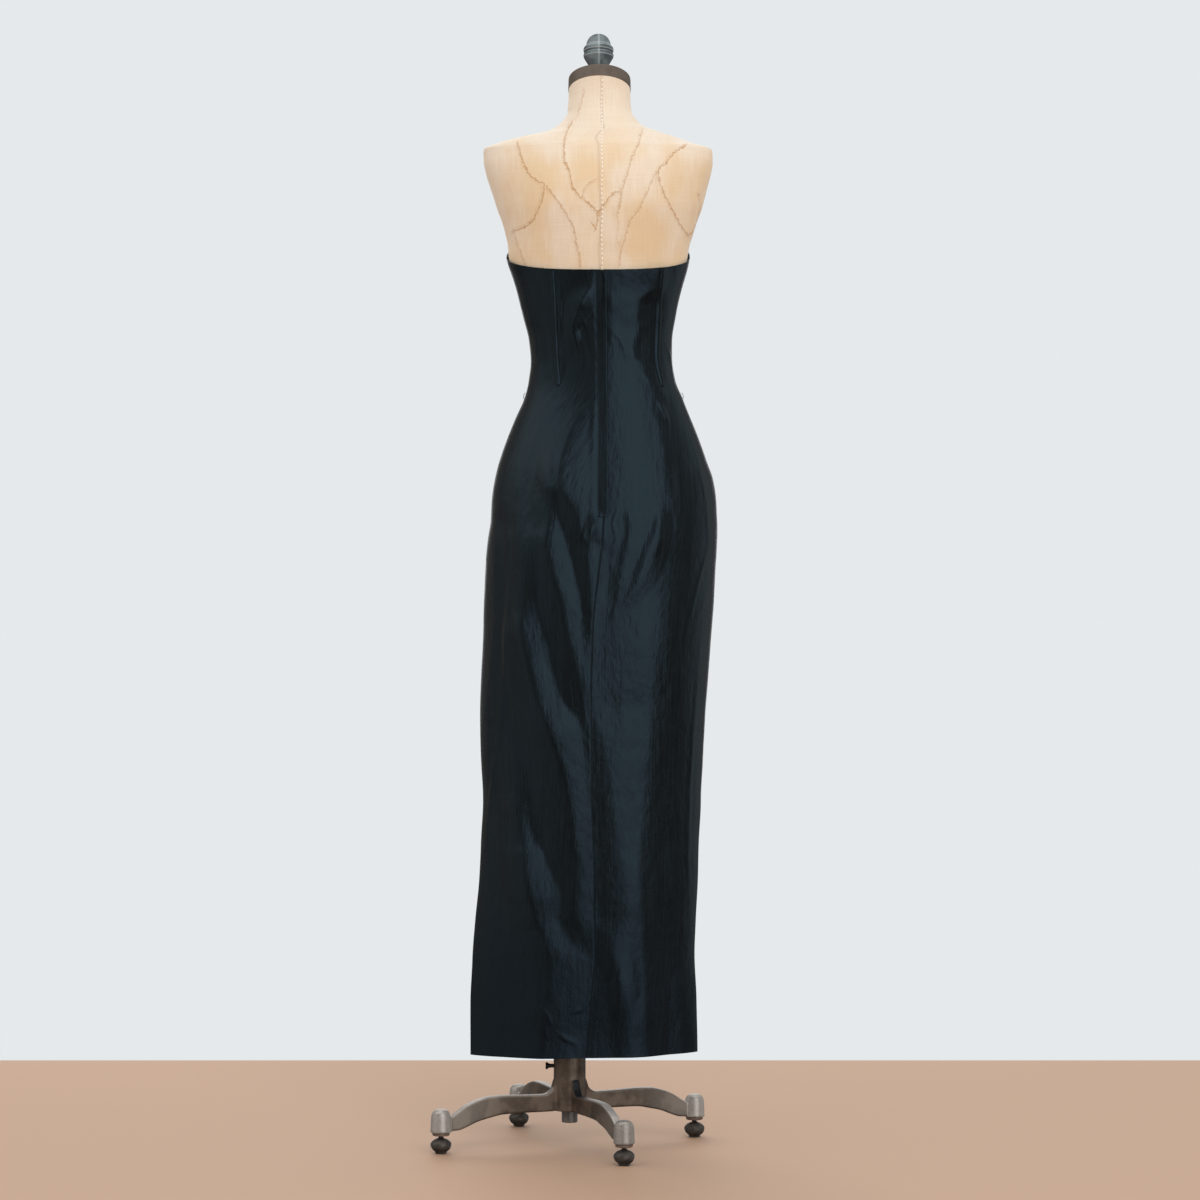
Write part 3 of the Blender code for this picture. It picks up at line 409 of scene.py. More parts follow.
def neckline(angle):
    """The height of the neckline: low and flat across the back, higher across the front."""
    wave = np.sin(angle)
    back = BACK_TOP + (SIDE_TOP - BACK_TOP) * np.clip(1.0 - wave, 0.0, 1.0) ** 1.3
    front = SIDE_TOP + (FRONT_TOP - SIDE_TOP) * np.clip(-wave, 0.0, 1.0) ** 0.8
    return np.where(wave >= 0, back, front)


def hem(angle):
    """The height of the hem, a little lower on the left."""
    return HEM_LEFT + (HEM_RIGHT - HEM_LEFT) * (1.0 - np.cos(angle)) / 2.0

# %% [markdown]
# ## Folds and creases
# Cloth on a figure is never a smooth tube.  It is pulled across the hips, so long slanting folds run from
# the zip's end to the hem.  A cloth simulation could make folds, but never these ones, so they are laid
# one by one.  Silk is bright where it faces the light panel and dark where it turns away, so a fold is best
# described by the way a flank faces.  Each row of a fold gives a height in metres, then the X of its start,
# its ridge (or the ridge's two edges) and its end in millimetres, and a number.  In a "left" or "right"
# fold the number is the turn, in degrees to the right, that its rising or its falling flank faces, and the
# code works out the lift.  In a "lift" fold it is the lift itself.  None lets the fold die out.

# %% The back's folds
BACK_FOLDS = {
    "broad_left": (9.0, "lift", (
        (0.401, -117, -46, 35, 0),
        (0.715, -133, -54, 40, 4),
        (0.935, -133, -54, 43, 5),
        (1.108, -117, -46, 40, 4),
        (1.186, -86, -35, 35, 0),
    )),
    "right_edge": (6.0, "lift", (
        (0.560, 50, 104, 180, 0),
        (0.690, 56, 118, 190, 3),
        (0.800, 60, 124, 190, 5),
        (0.880, 66, 128, 195, 3),
        (0.960, 70, 132, 200, 0),
    )),
    "beside_zip": (1.8, "right", (
        (0.954, 12, 29, 37, 4),
        (0.967, -8, 17, 38, 6),
        (0.988, -20, 7, 38, 7),
        (1.012, -31, 1, 38, 7),
        (1.029, -42, -9, 38, 7),
        (1.050, -54, -21, 38, 7),
        (1.076, -60, -20, 38, 7),
        (1.109, -54, -13, 38, 6),
        (1.144, -42, -1, 36, 4),
        (1.170, -26, 14, 35, 2),
        (1.186, -10, 30, 35, None),
    )),
    "zip_pocket": (1.2, "left", (
        (0.958, 24, 32, 34, 50, None),
        (0.972, 20, 36, 38, 58, -1),
        (0.986, 17, 37, 39, 60, -2),
        (1.000, 20, 37, 39, 58, -1),
        (1.012, 26, 36, 40, 54, None),
    )),
    "hip_fold_left": (1.8, "right", (
        (0.620, -5, 22, 31, None),
        (0.717, -28, 13, 30, 7),
        (0.754, -36, 8, 29, 8),
        (0.795, -52, -2, 25, 8),
        (0.836, -66, -12, 16, 8),
        (0.877, -76, -20, 10, 9),
        (0.898, -82, -27, 4, 9),
        (0.918, -84, -33, 0, 9),
        (0.939, -84, -38, -5, 9),
        (0.967, -78, -41, -13, 9),
        (0.988, -72, -38, -17, 8),
        (1.010, -66, -37, -20, -2),
        (1.036, -62, -37, -23, -10),
        (1.066, -60, -38, -25, -15),
        (1.110, -60, -40, -27, None),
    )),
    "seam_fold": (2.0, "right", (
        (0.780, 18, 26, 40, None),
        (0.820, 14, 25, 48, 8),
        (0.860, 10, 24, 50, 8),
        (0.900, 4, 22, 50, 9),
        (0.940, 0, 20, 52, 9),
        (0.962, 0, 22, 50, None),
    )),
    "long_fold_left": (2.2, "right", (
        (0.330, -15, 20, 32, None),
        (0.387, -30, 5, 29, 6),
        (0.428, -40, 7, 29, 7),
        (0.469, -46, 5, 28, 8),
        (0.510, -52, 0, 27, 8),
        (0.551, -60, -5, 25, 8),
        (0.592, -70, -14, 22, 8),
        (0.633, -82, -27, 17, 8),
        (0.674, -94, -40, 10, 8),
        (0.717, -106, -54, -18, 8),
        (0.762, -114, -66, -31, 8),
        (0.795, -117, -72, -37, 8),
        (0.820, -117, -76, -45, 8),
        (0.861, -112, -75, -55, 4),
        (0.895, -108, -74, -56, -4),
        (0.935, -108, -74, -56, -19),
        (0.985, -108, -75, -56, -30),
        (1.040, -108, -76, -56, -34),
        (1.110, -108, -78, -56, None),
    )),
    "hem_fold_left": (2.5, "right", (
        (0.149, -110, -52, 20, 2.4),
        (0.212, -110, -49, 22, 2.4),
        (0.259, -110, -42, 25, 2.6),
        (0.299, -108, -38, 24, 3.0),
        (0.325, -108, -44, 0, 4),
        (0.345, -110, -49, -14, 5),
        (0.366, -112, -60, -22, 6),
        (0.387, -114, -64, -20, 6),
        (0.407, -116, -69, -22, 7),
        (0.428, -118, -72, -28, 7),
        (0.448, -120, -75, -37, 8),
        (0.469, -122, -77, -44, 8),
        (0.493, -123, -80, -60, 8),
        (0.518, -124, -84, -66, 7),
        (0.540, -122, -89, -68, 3),
        (0.575, -124, -92, -70, -14),
        (0.612, -124, -94, -70, -22),
        (0.655, -122, -94, -70, None),
    )),
    "hem_seam_fold": (2.0, "left", (
        (0.149, 22, 52, 56, 86, -1),
        (0.200, 24, 54, 58, 88, -3),
        (0.260, 28, 66, 70, 100, -5),
        (0.300, 30, 60, 66, 96, -5),
        (0.340, 30, 46, 60, 90, -3),
        (0.370, 30, 34, 50, 80, None),
    )),
    "band_two": (2.6, "left", (
        (0.149, 56, 86, 107, 146, -3),
        (0.212, 56, 85, 107, 146, -4),
        (0.260, 54, 84, 107, 146, -5),
        (0.308, 36, 84, 105, 145, -4),
        (0.387, 33, 83, 101, 142, -3),
        (0.428, 31, 80, 99, 141, -3),
        (0.469, 31, 74, 99, 140, -3),
        (0.530, 29, 66, 104, 141, -3),
        (0.559, 29, 62, 106, 142, -3),
        (0.612, 28, 55, 112, 146, -3),
        (0.641, 28, 46, 114, 148, -3),
        (0.674, 27, 35, 118, 150, -3),
        (0.705, 27, 28, 121, 152, None),
    )),
    "zip_stroke": (1.0, "left", (
        (0.836, 54, 56, 60, 90, None),
        (0.862, 58, 63, 70, 100, -3),
        (0.893, 61, 70, 80, 110, -4),
        (0.930, 67, 77, 88, 116, -4),
        (0.959, 73, 83, 92, 118, -5),
        (0.984, 77, 87, 96, 120, -5),
        (1.002, 75, 84, 94, 116, -4),
        (1.018, 78, 81, 90, 110, None),
    )),
    "hip_stroke": (1.0, "left", (
        (0.858, 71, 74, 84, 112, None),
        (0.875, 77, 83, 94, 122, -2),
        (0.893, 84, 94, 104, 130, -3),
        (0.930, 96, 109, 118, 142, -3),
        (0.963, 108, 121, 128, 150, -3),
        (0.988, 117, 128, 133, 152, -2),
        (1.004, 123, 130, 134, 150, 0),
        (1.018, 127, 129, 133, 146, None),
    )),
    "side_right": (1.4, "lift", (
        (1.040, 40, 140, 168, 0),
        (1.109, 40, 141, 164, 1.8),
        (1.144, 38, 137, 156, 2.2),
        (1.168, 36, 131, 150, 2.4),
        (1.193, 36, 137, 150, 2.6),
        (1.217, 34, 125, 139, 2.8),
        (1.241, 34, 111, 128, 3.0),
        (1.257, 34, 93, 112, 3.1),
        (1.276, 34, 90, 110, 3.2),
        (1.288, 34, 95, 114, 3.2),
        (1.305, 34, 101, 119, 3.2),
        (1.320, 34, 96, 115, 3.1),
        (1.340, 34, 97, 116, 3.0),
        (1.353, 34, 110, 128, 2.8),
        (1.366, 34, 127, 146, 2.6),
        (1.392, 34, 129, 148, 2.4),
    )),
    "neckline_right": (1.2, "lift", (
        (1.340, 92, 126, 148, 0),
        (1.360, 92, 129, 152, 3.6),
        (1.392, 94, 130, 154, 4.8),
    )),
    "stitch_roll": (0.8, "lift", (
        (0.990, 23, 31, 36, 0),
        (1.010, 23.5, 32, 36.5, 0.8),
        (1.200, 23.5, 32, 36.5, 1.0),
        (1.380, 21, 29, 34, 0.8),
        (1.392, 21, 29, 34, 0.5),
    )),
    "beside_lap": (0.9, "right", (
        (1.262, -14, 6, 26, None),
        (1.296, -22, 0, 12, 9),
        (1.310, -20, 1, 20, 12),
        (1.324, -18, 6, 27, 13),
        (1.338, -15, 11, 33, 13),
        (1.352, -10, 18, 35, 13),
        (1.370, -2, 26, 36, 11),
        (1.392, 6, 30, 37, 5),
    )),
    "dart_streak": (0.7, "right", (
        (1.280, -28, -22, -18, None),
        (1.300, -28, -22, -17, -4),
        (1.318, -28, -22, -17, 9),
        (1.340, -28, -22, -17, 9),
        (1.356, -28, -22, -18, -2),
        (1.384, -28, -22, -18, None),
    )),
    "dart_streak_low": (0.7, "right", (
        (1.222, -24, -18, -14, None),
        (1.242, -25, -19, -14, 6),
        (1.258, -26, -20, -15, 9),
        (1.272, -26, -20, -16, None),
    )),
    "lap_dimple_high": (1.0, "left", (
        (1.328, 50, 51, 60, 84, None),
        (1.336, 50, 56, 61, 84, -3),
        (1.346, 50, 57, 61, 84, -3),
        (1.356, 50, 51, 58, 80, None),
    )),
    "lap_dimple_low": (1.0, "left", (
        (1.272, 50, 51, 60, 84, None),
        (1.284, 50, 58, 62, 86, -3),
        (1.294, 50, 57, 62, 86, -3),
        (1.304, 50, 51, 58, 80, None),
    )),
}
FRONT_FOLDS = {
    "front_fold_left": (4.0, "lift", (
        (0.140, -110, -82, -40, 9),
        (0.400, -112, -74, -36, 9),
        (0.700, -105, -56, -22, 7),
        (0.960, -90, -36, -20, 0),
    )),
    "front_fold_middle": (4.0, "lift", (
        (0.140, -20, 16, 22, 60, 8),
        (0.380, -16, 20, 26, 64, 9),
        (0.660, -4, 38, 42, 76, 6),
        (0.940, 20, 66, 90, 0),
    )),
    "front_fold_right": (4.0, "lift", (
        (0.140, 76, 108, 150, 8),
        (0.420, 80, 112, 150, 8),
        (0.700, 92, 128, 160, 5),
        (0.900, 110, 140, 180, 0),
    )),
}

# %% How a fold lifts the cloth
def fold_lift(x, z, soft, heights, places, lifts):
    """The lift in millimetres at points of X in millimetres and Z in metres."""
    place = [smooth_through(heights, column)(z) for column in places]
    top = smooth_through(heights, lifts)(z)
    lift = (0.0, top, top, 0.0)
    total, before = np.zeros(np.shape(x)), 0.0
    for i in range(4):
        after = 0.0
        if i < 3:
            after = (lift[i + 1] - lift[i]) / np.maximum(place[i + 1] - place[i], 0.4)
        total = total + (after - before) * soft * np.logaddexp(0.0, (x - place[i]) / soft)
        before = after
    return total


def lay_folds(folds, side):
    """Works out each fold's lifts in turn, each on the cloth as the earlier folds have left it."""
    laid = []
    for name, (soft, kind, rows) in folds.items():
        heights, places, lifts = [], [], []
        for height, start, *ridge, end, number in rows:
            heights.append(height)
            places.append((start, ridge[0], ridge[-1], end))
            if number is None or kind == "lift":
                lifts.append(float(number or 0.0))
                continue
            low, high = (start, ridge[0]) if kind == "left" else (ridge[-1], end)
            probe = (low + high) / 2 + np.array([-2.0, 2.0])
            level = np.full(2, height)
            depth = section_xy(angle_at_x(probe / 1000, level), level)[:, 1] * 1000
            depth = depth - sum(fold_lift(probe, level, *fold) for fold in laid)
            slope = (depth[1] - depth[0]) / 4.0
            rise = (slope - math.tan(math.radians(number))) * (high - low)
            lifts.append(rise if kind == "left" else -rise)
        laid.append((soft, heights, list(zip(*places)), lifts))
        print(f"{side} {name}: lifts {[round(lift, 1) for lift in lifts]}")
    return laid


LAID_BACK, LAID_FRONT = lay_folds(BACK_FOLDS, "back"), lay_folds(FRONT_FOLDS, "front")

# %% Creases
# A crease is a narrow ridge along a line of points: half width and rise in millimetres, then (X, height).
BACK_CREASES = {
    "waist_crease": (3.0, 0.8, ((56, 1.300), (72, 1.282), (80, 1.262), (84, 1.248))),
    "waist_crease_low": (3.0, 0.7, ((90, 1.246), (106, 1.232), (122, 1.212))),
    "zip_crease_a": (2.6, 1.0, ((66, 1.012), (60, 0.993), (66, 0.966))),
    "zip_crease_b": (2.2, 0.8, ((34, 0.994), (27, 0.986), (24, 0.974))),
    "side_streak_left_a": (3.5, 1.0, ((-88, 1.368), (-78, 1.322), (-66, 1.270))),
    "side_streak_left_b": (3.0, 0.9, ((-64, 1.306), (-58, 1.262), (-55, 1.224))),
    "side_streak_a": (3.0, 1.0, ((140, 1.285), (150, 1.255), (158, 1.225))),
    "channel_foot_left": (5.0, 1.2, ((-46, 1.189), (-29, 1.178), (-13, 1.180))),
    "channel_foot_right": (3.0, 1.4, ((130, 1.186), (141, 1.167), (147, 1.148))),
    "hip_nick_left": (1.6, 0.7, ((-54, 1.070), (-48, 1.054))),
    "hip_nick_right": (1.6, 0.7, ((156, 0.998), (163, 0.979))),
    "hip_line_right": (3.0, 1.2, ((181, 1.147), (194, 1.092), (207, 1.021), (210, 0.958), (191, 0.888),
                                  (174, 0.819))),
    "side_band_left": (9.0, 2.2, ((-126, 1.010), (-121, 0.930), (-120, 0.850), (-128, 0.760),
                                  (-136, 0.690))),
    "side_band_mid": (9.0, 2.0, ((-86, 1.080), (-82, 1.000), (-84, 0.900), (-90, 0.820))),
    "side_line_left": (5.0, 2.0, ((-105, 1.029), (-98, 0.888), (-108, 0.746), (-125, 0.608), (-141, 0.479))),
    "waist_line_right": (1.6, 0.9, ((148, 1.315), (147, 1.273), (153, 1.230), (163, 1.186))),
    "hem_crease_a": (2.6, 1.2, ((-64, 0.239), (-46, 0.222), (-34, 0.203))),
    "hem_crease_b": (2.8, 1.3, ((-26, 0.187), (-13, 0.178), (5, 0.170))),
    "hem_crease_c": (3.0, 1.0, ((-6, 0.220), (12, 0.225), (26, 0.244))),
    "skirt_line_right": (3.5, 1.2, ((197, 0.793), (188, 0.691), (181, 0.574), (178, 0.464), (181, 0.380))),
}


def beside(x, z, start, end):
    """Where points lie beside a straight piece of line: their share of it, distance, and side (+1 or -1)."""
    x, z, dx, dz = x - start[0], z - start[1], end[0] - start[0], end[1] - start[1]
    share = np.clip((x * dx + z * dz) / (dx * dx + dz * dz), 0.0, 1.0)
    side = np.where(x * dz - z * dx > 0, 1.0, -1.0)
    return share, np.hypot(x - share * dx, z - share * dz), side


def crease_lift(x, z, width, rise, points):
    """The lift of one crease, which fades towards both of its ends."""
    best, along = np.full(np.shape(x), np.inf), np.zeros(np.shape(x))
    points = [(px, pz * 1000) for px, pz in points]
    count = len(points) - 1
    for i in range(count):
        share, gap, _ = beside(x, z * 1000, points[i], points[i + 1])
        along = np.where(gap < best, (i + share) / count, along)
        best = np.minimum(best, gap)
    return rise * np.sin(math.pi * np.clip(along, 0.04, 0.96)) ** 0.6 * np.exp(-((best / width) ** 2))


UNEVENNESS = table(
    "width pitch share shift",
    (26.0, 7.0, 0.55, 0.0),
    (20.0, 42.0, 0.28, 7.0),
)
BACK_SEED, FRONT_SEED = 1.5, 4.5


def undulation(x, z, seed):
    """The small unevenness of worn cloth in millimetres: one wave stretched upright, and a finer one."""
    total = np.zeros(x.size)
    for row in UNEVENNESS:
        places = zip(x.ravel() / row.width, z.ravel() * row.pitch)
        total += row.share * np.array([noise.noise(Vector((a, b, seed + row.shift))) for a, b in places])
    return total.reshape(x.shape)


FORM_BOTTOM = 0.930
DEEPEST, FLOOR_SOFTNESS = -8.0, 0.4  # millimetres
SIDE_FADE = 0.30


def relief(x, z, wave):
    """How far folds, creases and unevenness lift the cloth, in metres.

    It fades out at the side seams.  Over the form the cloth can't sink, below it by a few millimetres."""
    x_mm, at_back = x * 1000, wave.mean() >= 0
    total = undulation(x_mm, z, BACK_SEED if at_back else FRONT_SEED)
    for fold in LAID_BACK if at_back else LAID_FRONT:
        total = total + fold_lift(x_mm, z, *fold)
    for crease in BACK_CREASES.values() if at_back else ():
        total = total + crease_lift(x_mm, z, *crease)
    total = total * ramp(np.abs(wave), 0.0, SIDE_FADE)
    lowest = DEEPEST * (1.0 - ramp(z, FORM_BOTTOM - 0.03, FORM_BOTTOM + 0.01))
    return (lowest + np.logaddexp(0.0, (total - lowest) / FLOOR_SOFTNESS) * FLOOR_SOFTNESS) / 1000


CLOTH_WALL = 0.0015
CLOTH_CLEARANCE = 0.0005
EDGE_EASE = 0.0017


def cloth_grid(angle, z, lift):
    """Points of the gown's inner side with its folds, lifted off it."""
    flat = section_xy(angle, z)
    folds = relief(flat[..., 0], z, np.sin(angle))
    off = CLOTH_CLEARANCE + EDGE_EASE * ramp(z, 1.360, 1.410) + folds + lift
    flat = flat + outward(angle, z) * off[..., None]
    return np.concatenate([flat, z[..., None]], axis=-1)


# %% [markdown]
# ## The gown's panels
# A panel is one cut piece: front, left back and right back.  Its mesh is a fine grid from seam to seam and
# from hem to neckline, with an inner and an outer side that meet at its edges.  Along a seam the outer side
# sinks a little, because a stitched seam pulls the cloth into a thin groove.

# %% From a grid to a piece
def add_piece(name, mesh, finish, body, replaced=()):
    """Puts a finished mesh into the scene, riding on its body."""
    mesh.name = name
    if finish is not None:
        mesh.materials.clear()
        mesh.materials.append(finish)
    piece = add_object(name, mesh)
    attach(piece, body)
    if replaced:
        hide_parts(*replaced)
    count = sum(len(p.vertices) - 2 for p in mesh.polygons)
    print(f"{name}: {count} triangles")
    return piece


def smooth_mesh(points, faces, sharp):
    """A mesh shaded smooth, but for its edges above an angle in degrees."""
    mesh = bpy.data.meshes.new("mesh")
    mesh.from_pydata(points.reshape(-1, 3).tolist(), [], faces)
    mesh.shade_smooth()
    mesh.set_sharp_from_angle(angle=math.radians(sharp))
    return mesh


def lay_uv(mesh, uv):
    """Gives a mesh its cloth map in metres, from one (u, v) for each vertex."""
    corner = np.zeros(len(mesh.loops), int)
    mesh.loops.foreach_get("vertex_index", corner)
    mesh.uv_layers.new(name="cloth").data.foreach_set("uv", uv[corner].astype(np.float32).ravel())


def store(mesh, label, values):
    """Keeps one number for each vertex where a material can read it."""
    mesh.attributes.new(label, "FLOAT", "POINT").data.foreach_set("value", values.astype(np.float32))


def shell_mesh(inner, outer, uv, sharp=50.0):
    """A closed wall between two grids of points."""
    n = inner.shape[0] * inner.shape[1]
    index = np.arange(n).reshape(inner.shape[:2])
    a, b, c, d = index[:-1, :-1], index[:-1, 1:], index[1:, 1:], index[1:, :-1]
    faces = [np.stack([a, b, c, d], -1).reshape(-1, 4), np.stack([a, d, c, b], -1).reshape(-1, 4) + n]
    for edge in (index[0], index[:, -1], index[-1][::-1], index[::-1, 0]):
        faces.append(np.stack([edge[1:], edge[:-1], edge[:-1] + n, edge[1:] + n], -1))
    mesh = smooth_mesh(np.stack([outer, inner]), np.concatenate(faces).tolist(), sharp)
    lay_uv(mesh, np.concatenate([uv.reshape(-1, 2)] * 2))
    return mesh


def skin_mesh(rings, ring_closed=False, sharp=40.0):
    """A skin through rings of points that run anticlockwise, with flat ends or joined end to end."""
    rings = np.array(rings, float)
    rows, count = rings.shape[:2]
    index = np.arange(rows * count).reshape(rows, count)
    if ring_closed:
        index = np.concatenate([index, index[:1]])
    right = np.roll(index, -1, axis=1)
    faces = np.stack([index[:-1], right[:-1], right[1:], index[1:]], -1).reshape(-1, 4).tolist()
    if not ring_closed:
        faces += [index[0][::-1].tolist(), index[-1].tolist()]
    return smooth_mesh(rings, faces, sharp)


# %% Panels from seam to seam
SEAM_EDGE = np.array([0.0, 0.0004, 0.0009, 0.0016, 0.0026, 0.0040])
SEAM_BAND, SEAM_GROOVE, SEAM_SINK = 0.006, 0.0016, 0.0007
SECTION_STEPS = 241


def panel_points(start, end, columns, rows, gap_start, gap_end):
    """Angles, heights and cloth lengths of a panel's grid, between two seams less a gap beside each."""
    angles, heights, lengths = [], [], []
    for share in np.linspace(0.0, 1.0, rows + 1):
        level = HEM_LEFT + (BACK_TOP - HEM_LEFT) * share
        fine = np.linspace(value_at(start, level), value_at(end, level), SECTION_STEPS)
        xy = section_xy(fine, level)
        run = np.concatenate([[0.0], np.cumsum(np.linalg.norm(np.diff(xy, axis=0), axis=1))])
        low, high = value_at(gap_start, level), run[-1] - value_at(gap_end, level)
        middle = np.linspace(low + SEAM_BAND, high - SEAM_BAND, columns - 2 * len(SEAM_EDGE) + 1)
        wanted = np.concatenate([low + SEAM_EDGE, middle, high - SEAM_EDGE[::-1]])
        angle = np.interp(wanted, run, fine)
        angles.append(angle)
        heights.append(hem(angle) * (1 - share) + neckline(angle) * share)
        lengths.append(wanted)
    return np.array(angles), np.array(heights), np.array(lengths)


def edge_sink(lengths):
    """The groove: how far each column sinks towards its nearer seam."""
    from_start = lengths - lengths[:, :1]
    from_end = lengths[:, -1:] - lengths
    nearer = np.minimum(from_start, from_end)
    return SEAM_SINK * (1.0 - ramp(nearer, 0.0, SEAM_GROOVE))


ZIP_END, CHAIN_END, ZIP_TOP, ZIP_SLOT = 1.0020, 1.0143, 1.3890, 0.0046


def zip_opening(z):
    """Half the slot of the zip, which closes towards its end."""
    return ZIP_SLOT / 2 * float(ramp(z, ZIP_END + 0.001, CHAIN_END))


def panel_mesh(start, end, columns, rows, gap_start, gap_end):
    """A panel's wall, with the area and the width that it was cut to."""
    angle, z, lengths = panel_points(start, end, columns, rows, gap_start, gap_end)
    inner = cloth_grid(angle, z, 0.0)
    outer = inner.copy()
    outer[..., :2] += outward(angle, z) * (CLOTH_WALL - edge_sink(lengths))[..., None]
    area = float(np.sum(np.diff(lengths, axis=1)[:-1] * np.diff(z, axis=0)[:, :-1]))
    width = float((lengths[:, -1] - lengths[:, 0]).max())
    return shell_mesh(inner, outer, np.stack([lengths, z], axis=-1)), area, width


# %% [markdown]
# ## The gown's cloth
# The cloth is faille, a black silk with a fine crosswise rib and a dull sheen.  Its colour is almost
# nothing: what the eye sees is the panels of light in it, cool blue and streaked, since no silk thread is
# quite even.  The threads and the streaks are two shader groups, because the linen uses them too.

# %% Thread group
SOCKET_KINDS = {"vector": "NodeSocketVector", "colour": "NodeSocketColor"}


def new_group(name, inputs, outputs):
    """An empty shader group.  An input is a number or the word vector or colour, and so is an output."""
    group = bpy.data.node_groups.new(name, "ShaderNodeTree")
    for way, sockets in (("INPUT", inputs), ("OUTPUT", outputs)):
        for label, value in sockets.items():
            kind = SOCKET_KINDS.get(value, "NodeSocketFloat")
            socket = group.interface.new_socket(label, in_out=way, socket_type=kind)
            if kind == "NodeSocketFloat":
                socket.default_value = value
    return group, put(group, "NodeGroupInput").outputs


def use(tree, group, inputs):
    """Places a shader group in a tree."""
    return put(tree, "ShaderNodeGroup", inputs, node_tree=group).outputs


THREADS, given = new_group(
    "woven_threads",
    {"Vector": "vector", "Warp Pitch": 0.0006, "Weft Pitch": 0.0012, "Warp Depth": 0.5, "Weft Depth": 0.5},
    {"Height": 0.0},
)
axis = put(THREADS, "ShaderNodeSeparateXYZ", {0: given["Vector"]}).outputs
ribs = []
for place, pitch, depth in (("X", "Warp Pitch", "Warp Depth"), ("Y", "Weft Pitch", "Weft Depth")):
    turn = calc(THREADS, "MULTIPLY", calc(THREADS, "DIVIDE", axis[place], given[pitch]), math.pi)
    rib = calc(THREADS, "ABSOLUTE", calc(THREADS, "SINE", turn))
    ribs.append(calc(THREADS, "MULTIPLY", rib, given[depth]))
put(THREADS, "NodeGroupOutput", {"Height": calc(THREADS, "ADD", *ribs)})

# %% Streak group
STREAKS, given = new_group(
    "uneven_streaks", {"Vector": "vector", "Across": 500.0, "Along": 12.0, "Detail": 3.0}, {"Streak": 0.0},
)
axis = put(STREAKS, "ShaderNodeSeparateXYZ", {0: given["Vector"]}).outputs
stretched = put(STREAKS, "ShaderNodeCombineXYZ", {
    0: calc(STREAKS, "MULTIPLY", axis["X"], given["Across"]),
    1: calc(STREAKS, "MULTIPLY", axis["Y"], given["Along"]),
}).outputs[0]
field = put(STREAKS, "ShaderNodeTexNoise", {"Vector": stretched, "Scale": 1.0, "Detail": given["Detail"]})
put(STREAKS, "NodeGroupOutput", {"Streak": field.outputs[0]})


def two_toned(name, roughness, kind, pattern, first, second, stretch=(1.0, 1.0, 1.0)):
    """A material with two tones that follow a noise or a wave, which is returned for a bump."""
    made, tree, shader = new_finish(name, roughness)
    place = put(tree, "ShaderNodeTexCoord").outputs["Object"]
    place = put(tree, "ShaderNodeMapping", {"Vector": place, "Scale": stretch}).outputs[0]
    tone = put(tree, kind, {"Vector": place, **pattern}).outputs["Fac"]
    feed(tree, shader.inputs["Base Color"], blend(tree, tone, first, second))
    return made, tree, shader, tone


# %% Black faille
faille, tree, shader = new_finish("black_faille", 0.20)
cloth_uv = put(tree, "ShaderNodeUVMap", uv_map="cloth").outputs[0]
slub = use(tree, STREAKS, {"Vector": cloth_uv, "Across": 420.0, "Along": 9.0, "Detail": 3.0})["Streak"]
cloud = use(tree, STREAKS, {"Vector": cloth_uv, "Across": 60.0, "Along": 14.0, "Detail": 3.0})["Streak"]
rib = use(tree, THREADS, {"Vector": cloth_uv, "Warp Pitch": 0.0005, "Weft Pitch": 0.0011,
                          "Warp Depth": 0.25, "Weft Depth": 0.75})["Height"]
dye_and_painted_shade = blend(tree, remap(tree, slub, 0.3, 0.7), (0.0050, 0.0062, 0.0068), (0.0078, 0.0094, 0.0102))
level = put(tree, "ShaderNodeSeparateXYZ", {0: cloth_uv}).outputs["Y"]
# Painted shade: below 0.55 m the cloth's colour is darkened towards the hem, where less light falls.
dye_and_painted_shade = blend(tree, remap(tree, level, 0.16, 0.55, 0.85, 0.0), dye_and_painted_shade, (0.0040, 0.0038, 0.0044))
feed(tree, shader.inputs["Base Color"], dye_and_painted_shade)
rough = calc(tree, "ADD", remap(tree, slub, 0.3, 0.7, 0.16, 0.25), remap(tree, cloud, 0.3, 0.7, -0.02, 0.05))
rough = calc(tree, "ADD", rough, remap(tree, level, 0.14, 0.70, 0.15, 0.0))
feed(tree, shader.inputs["Roughness"], rough)
shader.inputs["Specular Tint"].default_value = (0.45, 0.75, 1.0, 1.0)
crinkle = use(tree, STREAKS, {"Vector": cloth_uv, "Across": 95.0, "Along": 48.0, "Detail": 4.0})["Streak"]
grain = bump(tree, shader, rib, 0.25, 0.00012)
crushed = bump(tree, shader, crinkle, 1.0, 0.0010, grain)
bump(tree, shader, slub, 0.5, 0.0004, crushed)

# %% Cut and hang the panels
CUTS = {}
for name, replaced, start, end, columns, rows, gaps in (
    ("back_panel_left", "gown_back_left", left_seam, centre_back, 112, 380, (0.0, zip_opening)),
    ("back_panel_right", "gown_back_right", centre_back, RIGHT_SEAM, 112, 380, (zip_opening, 0.0)),
    ("front_panel", "gown_front", RIGHT_SEAM, lambda z: left_seam(z) + math.tau, 160, 270, (0.0, 0.0)),
):
    mesh, area, width = panel_mesh(start, end, columns, rows, *gaps)
    add_piece(name, mesh, faille, "figure", [replaced])
    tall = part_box(replaced)[1].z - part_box(replaced)[0].z
    CUTS[name] = (width, tall, area)
    print(f"  cut from {width:.3f} x {tall:.3f} m, {area:.3f} m2")

# %% [markdown]
# ## Strips on the gown
# Two kinds of strip lie on the back.  The zip's lap is a fold of the left panel: stitched down on its left,
# free on its right, and arched over the slider at the top.  The bone channels are tapes over the darts,
# each with a bone in it, so they stand up round between their two rows of stitches.  Both are grids again:
# a few columns beside a middle line, each lifted off the panel under it.

# %% A strip beside a line
def by_height(rule, heights, columns=None):
    """One row of numbers for each height."""
    rows = [value_at(rule, z) for z in heights]
    return np.array([np.broadcast_to(row, columns or np.shape(row)) for row in rows])


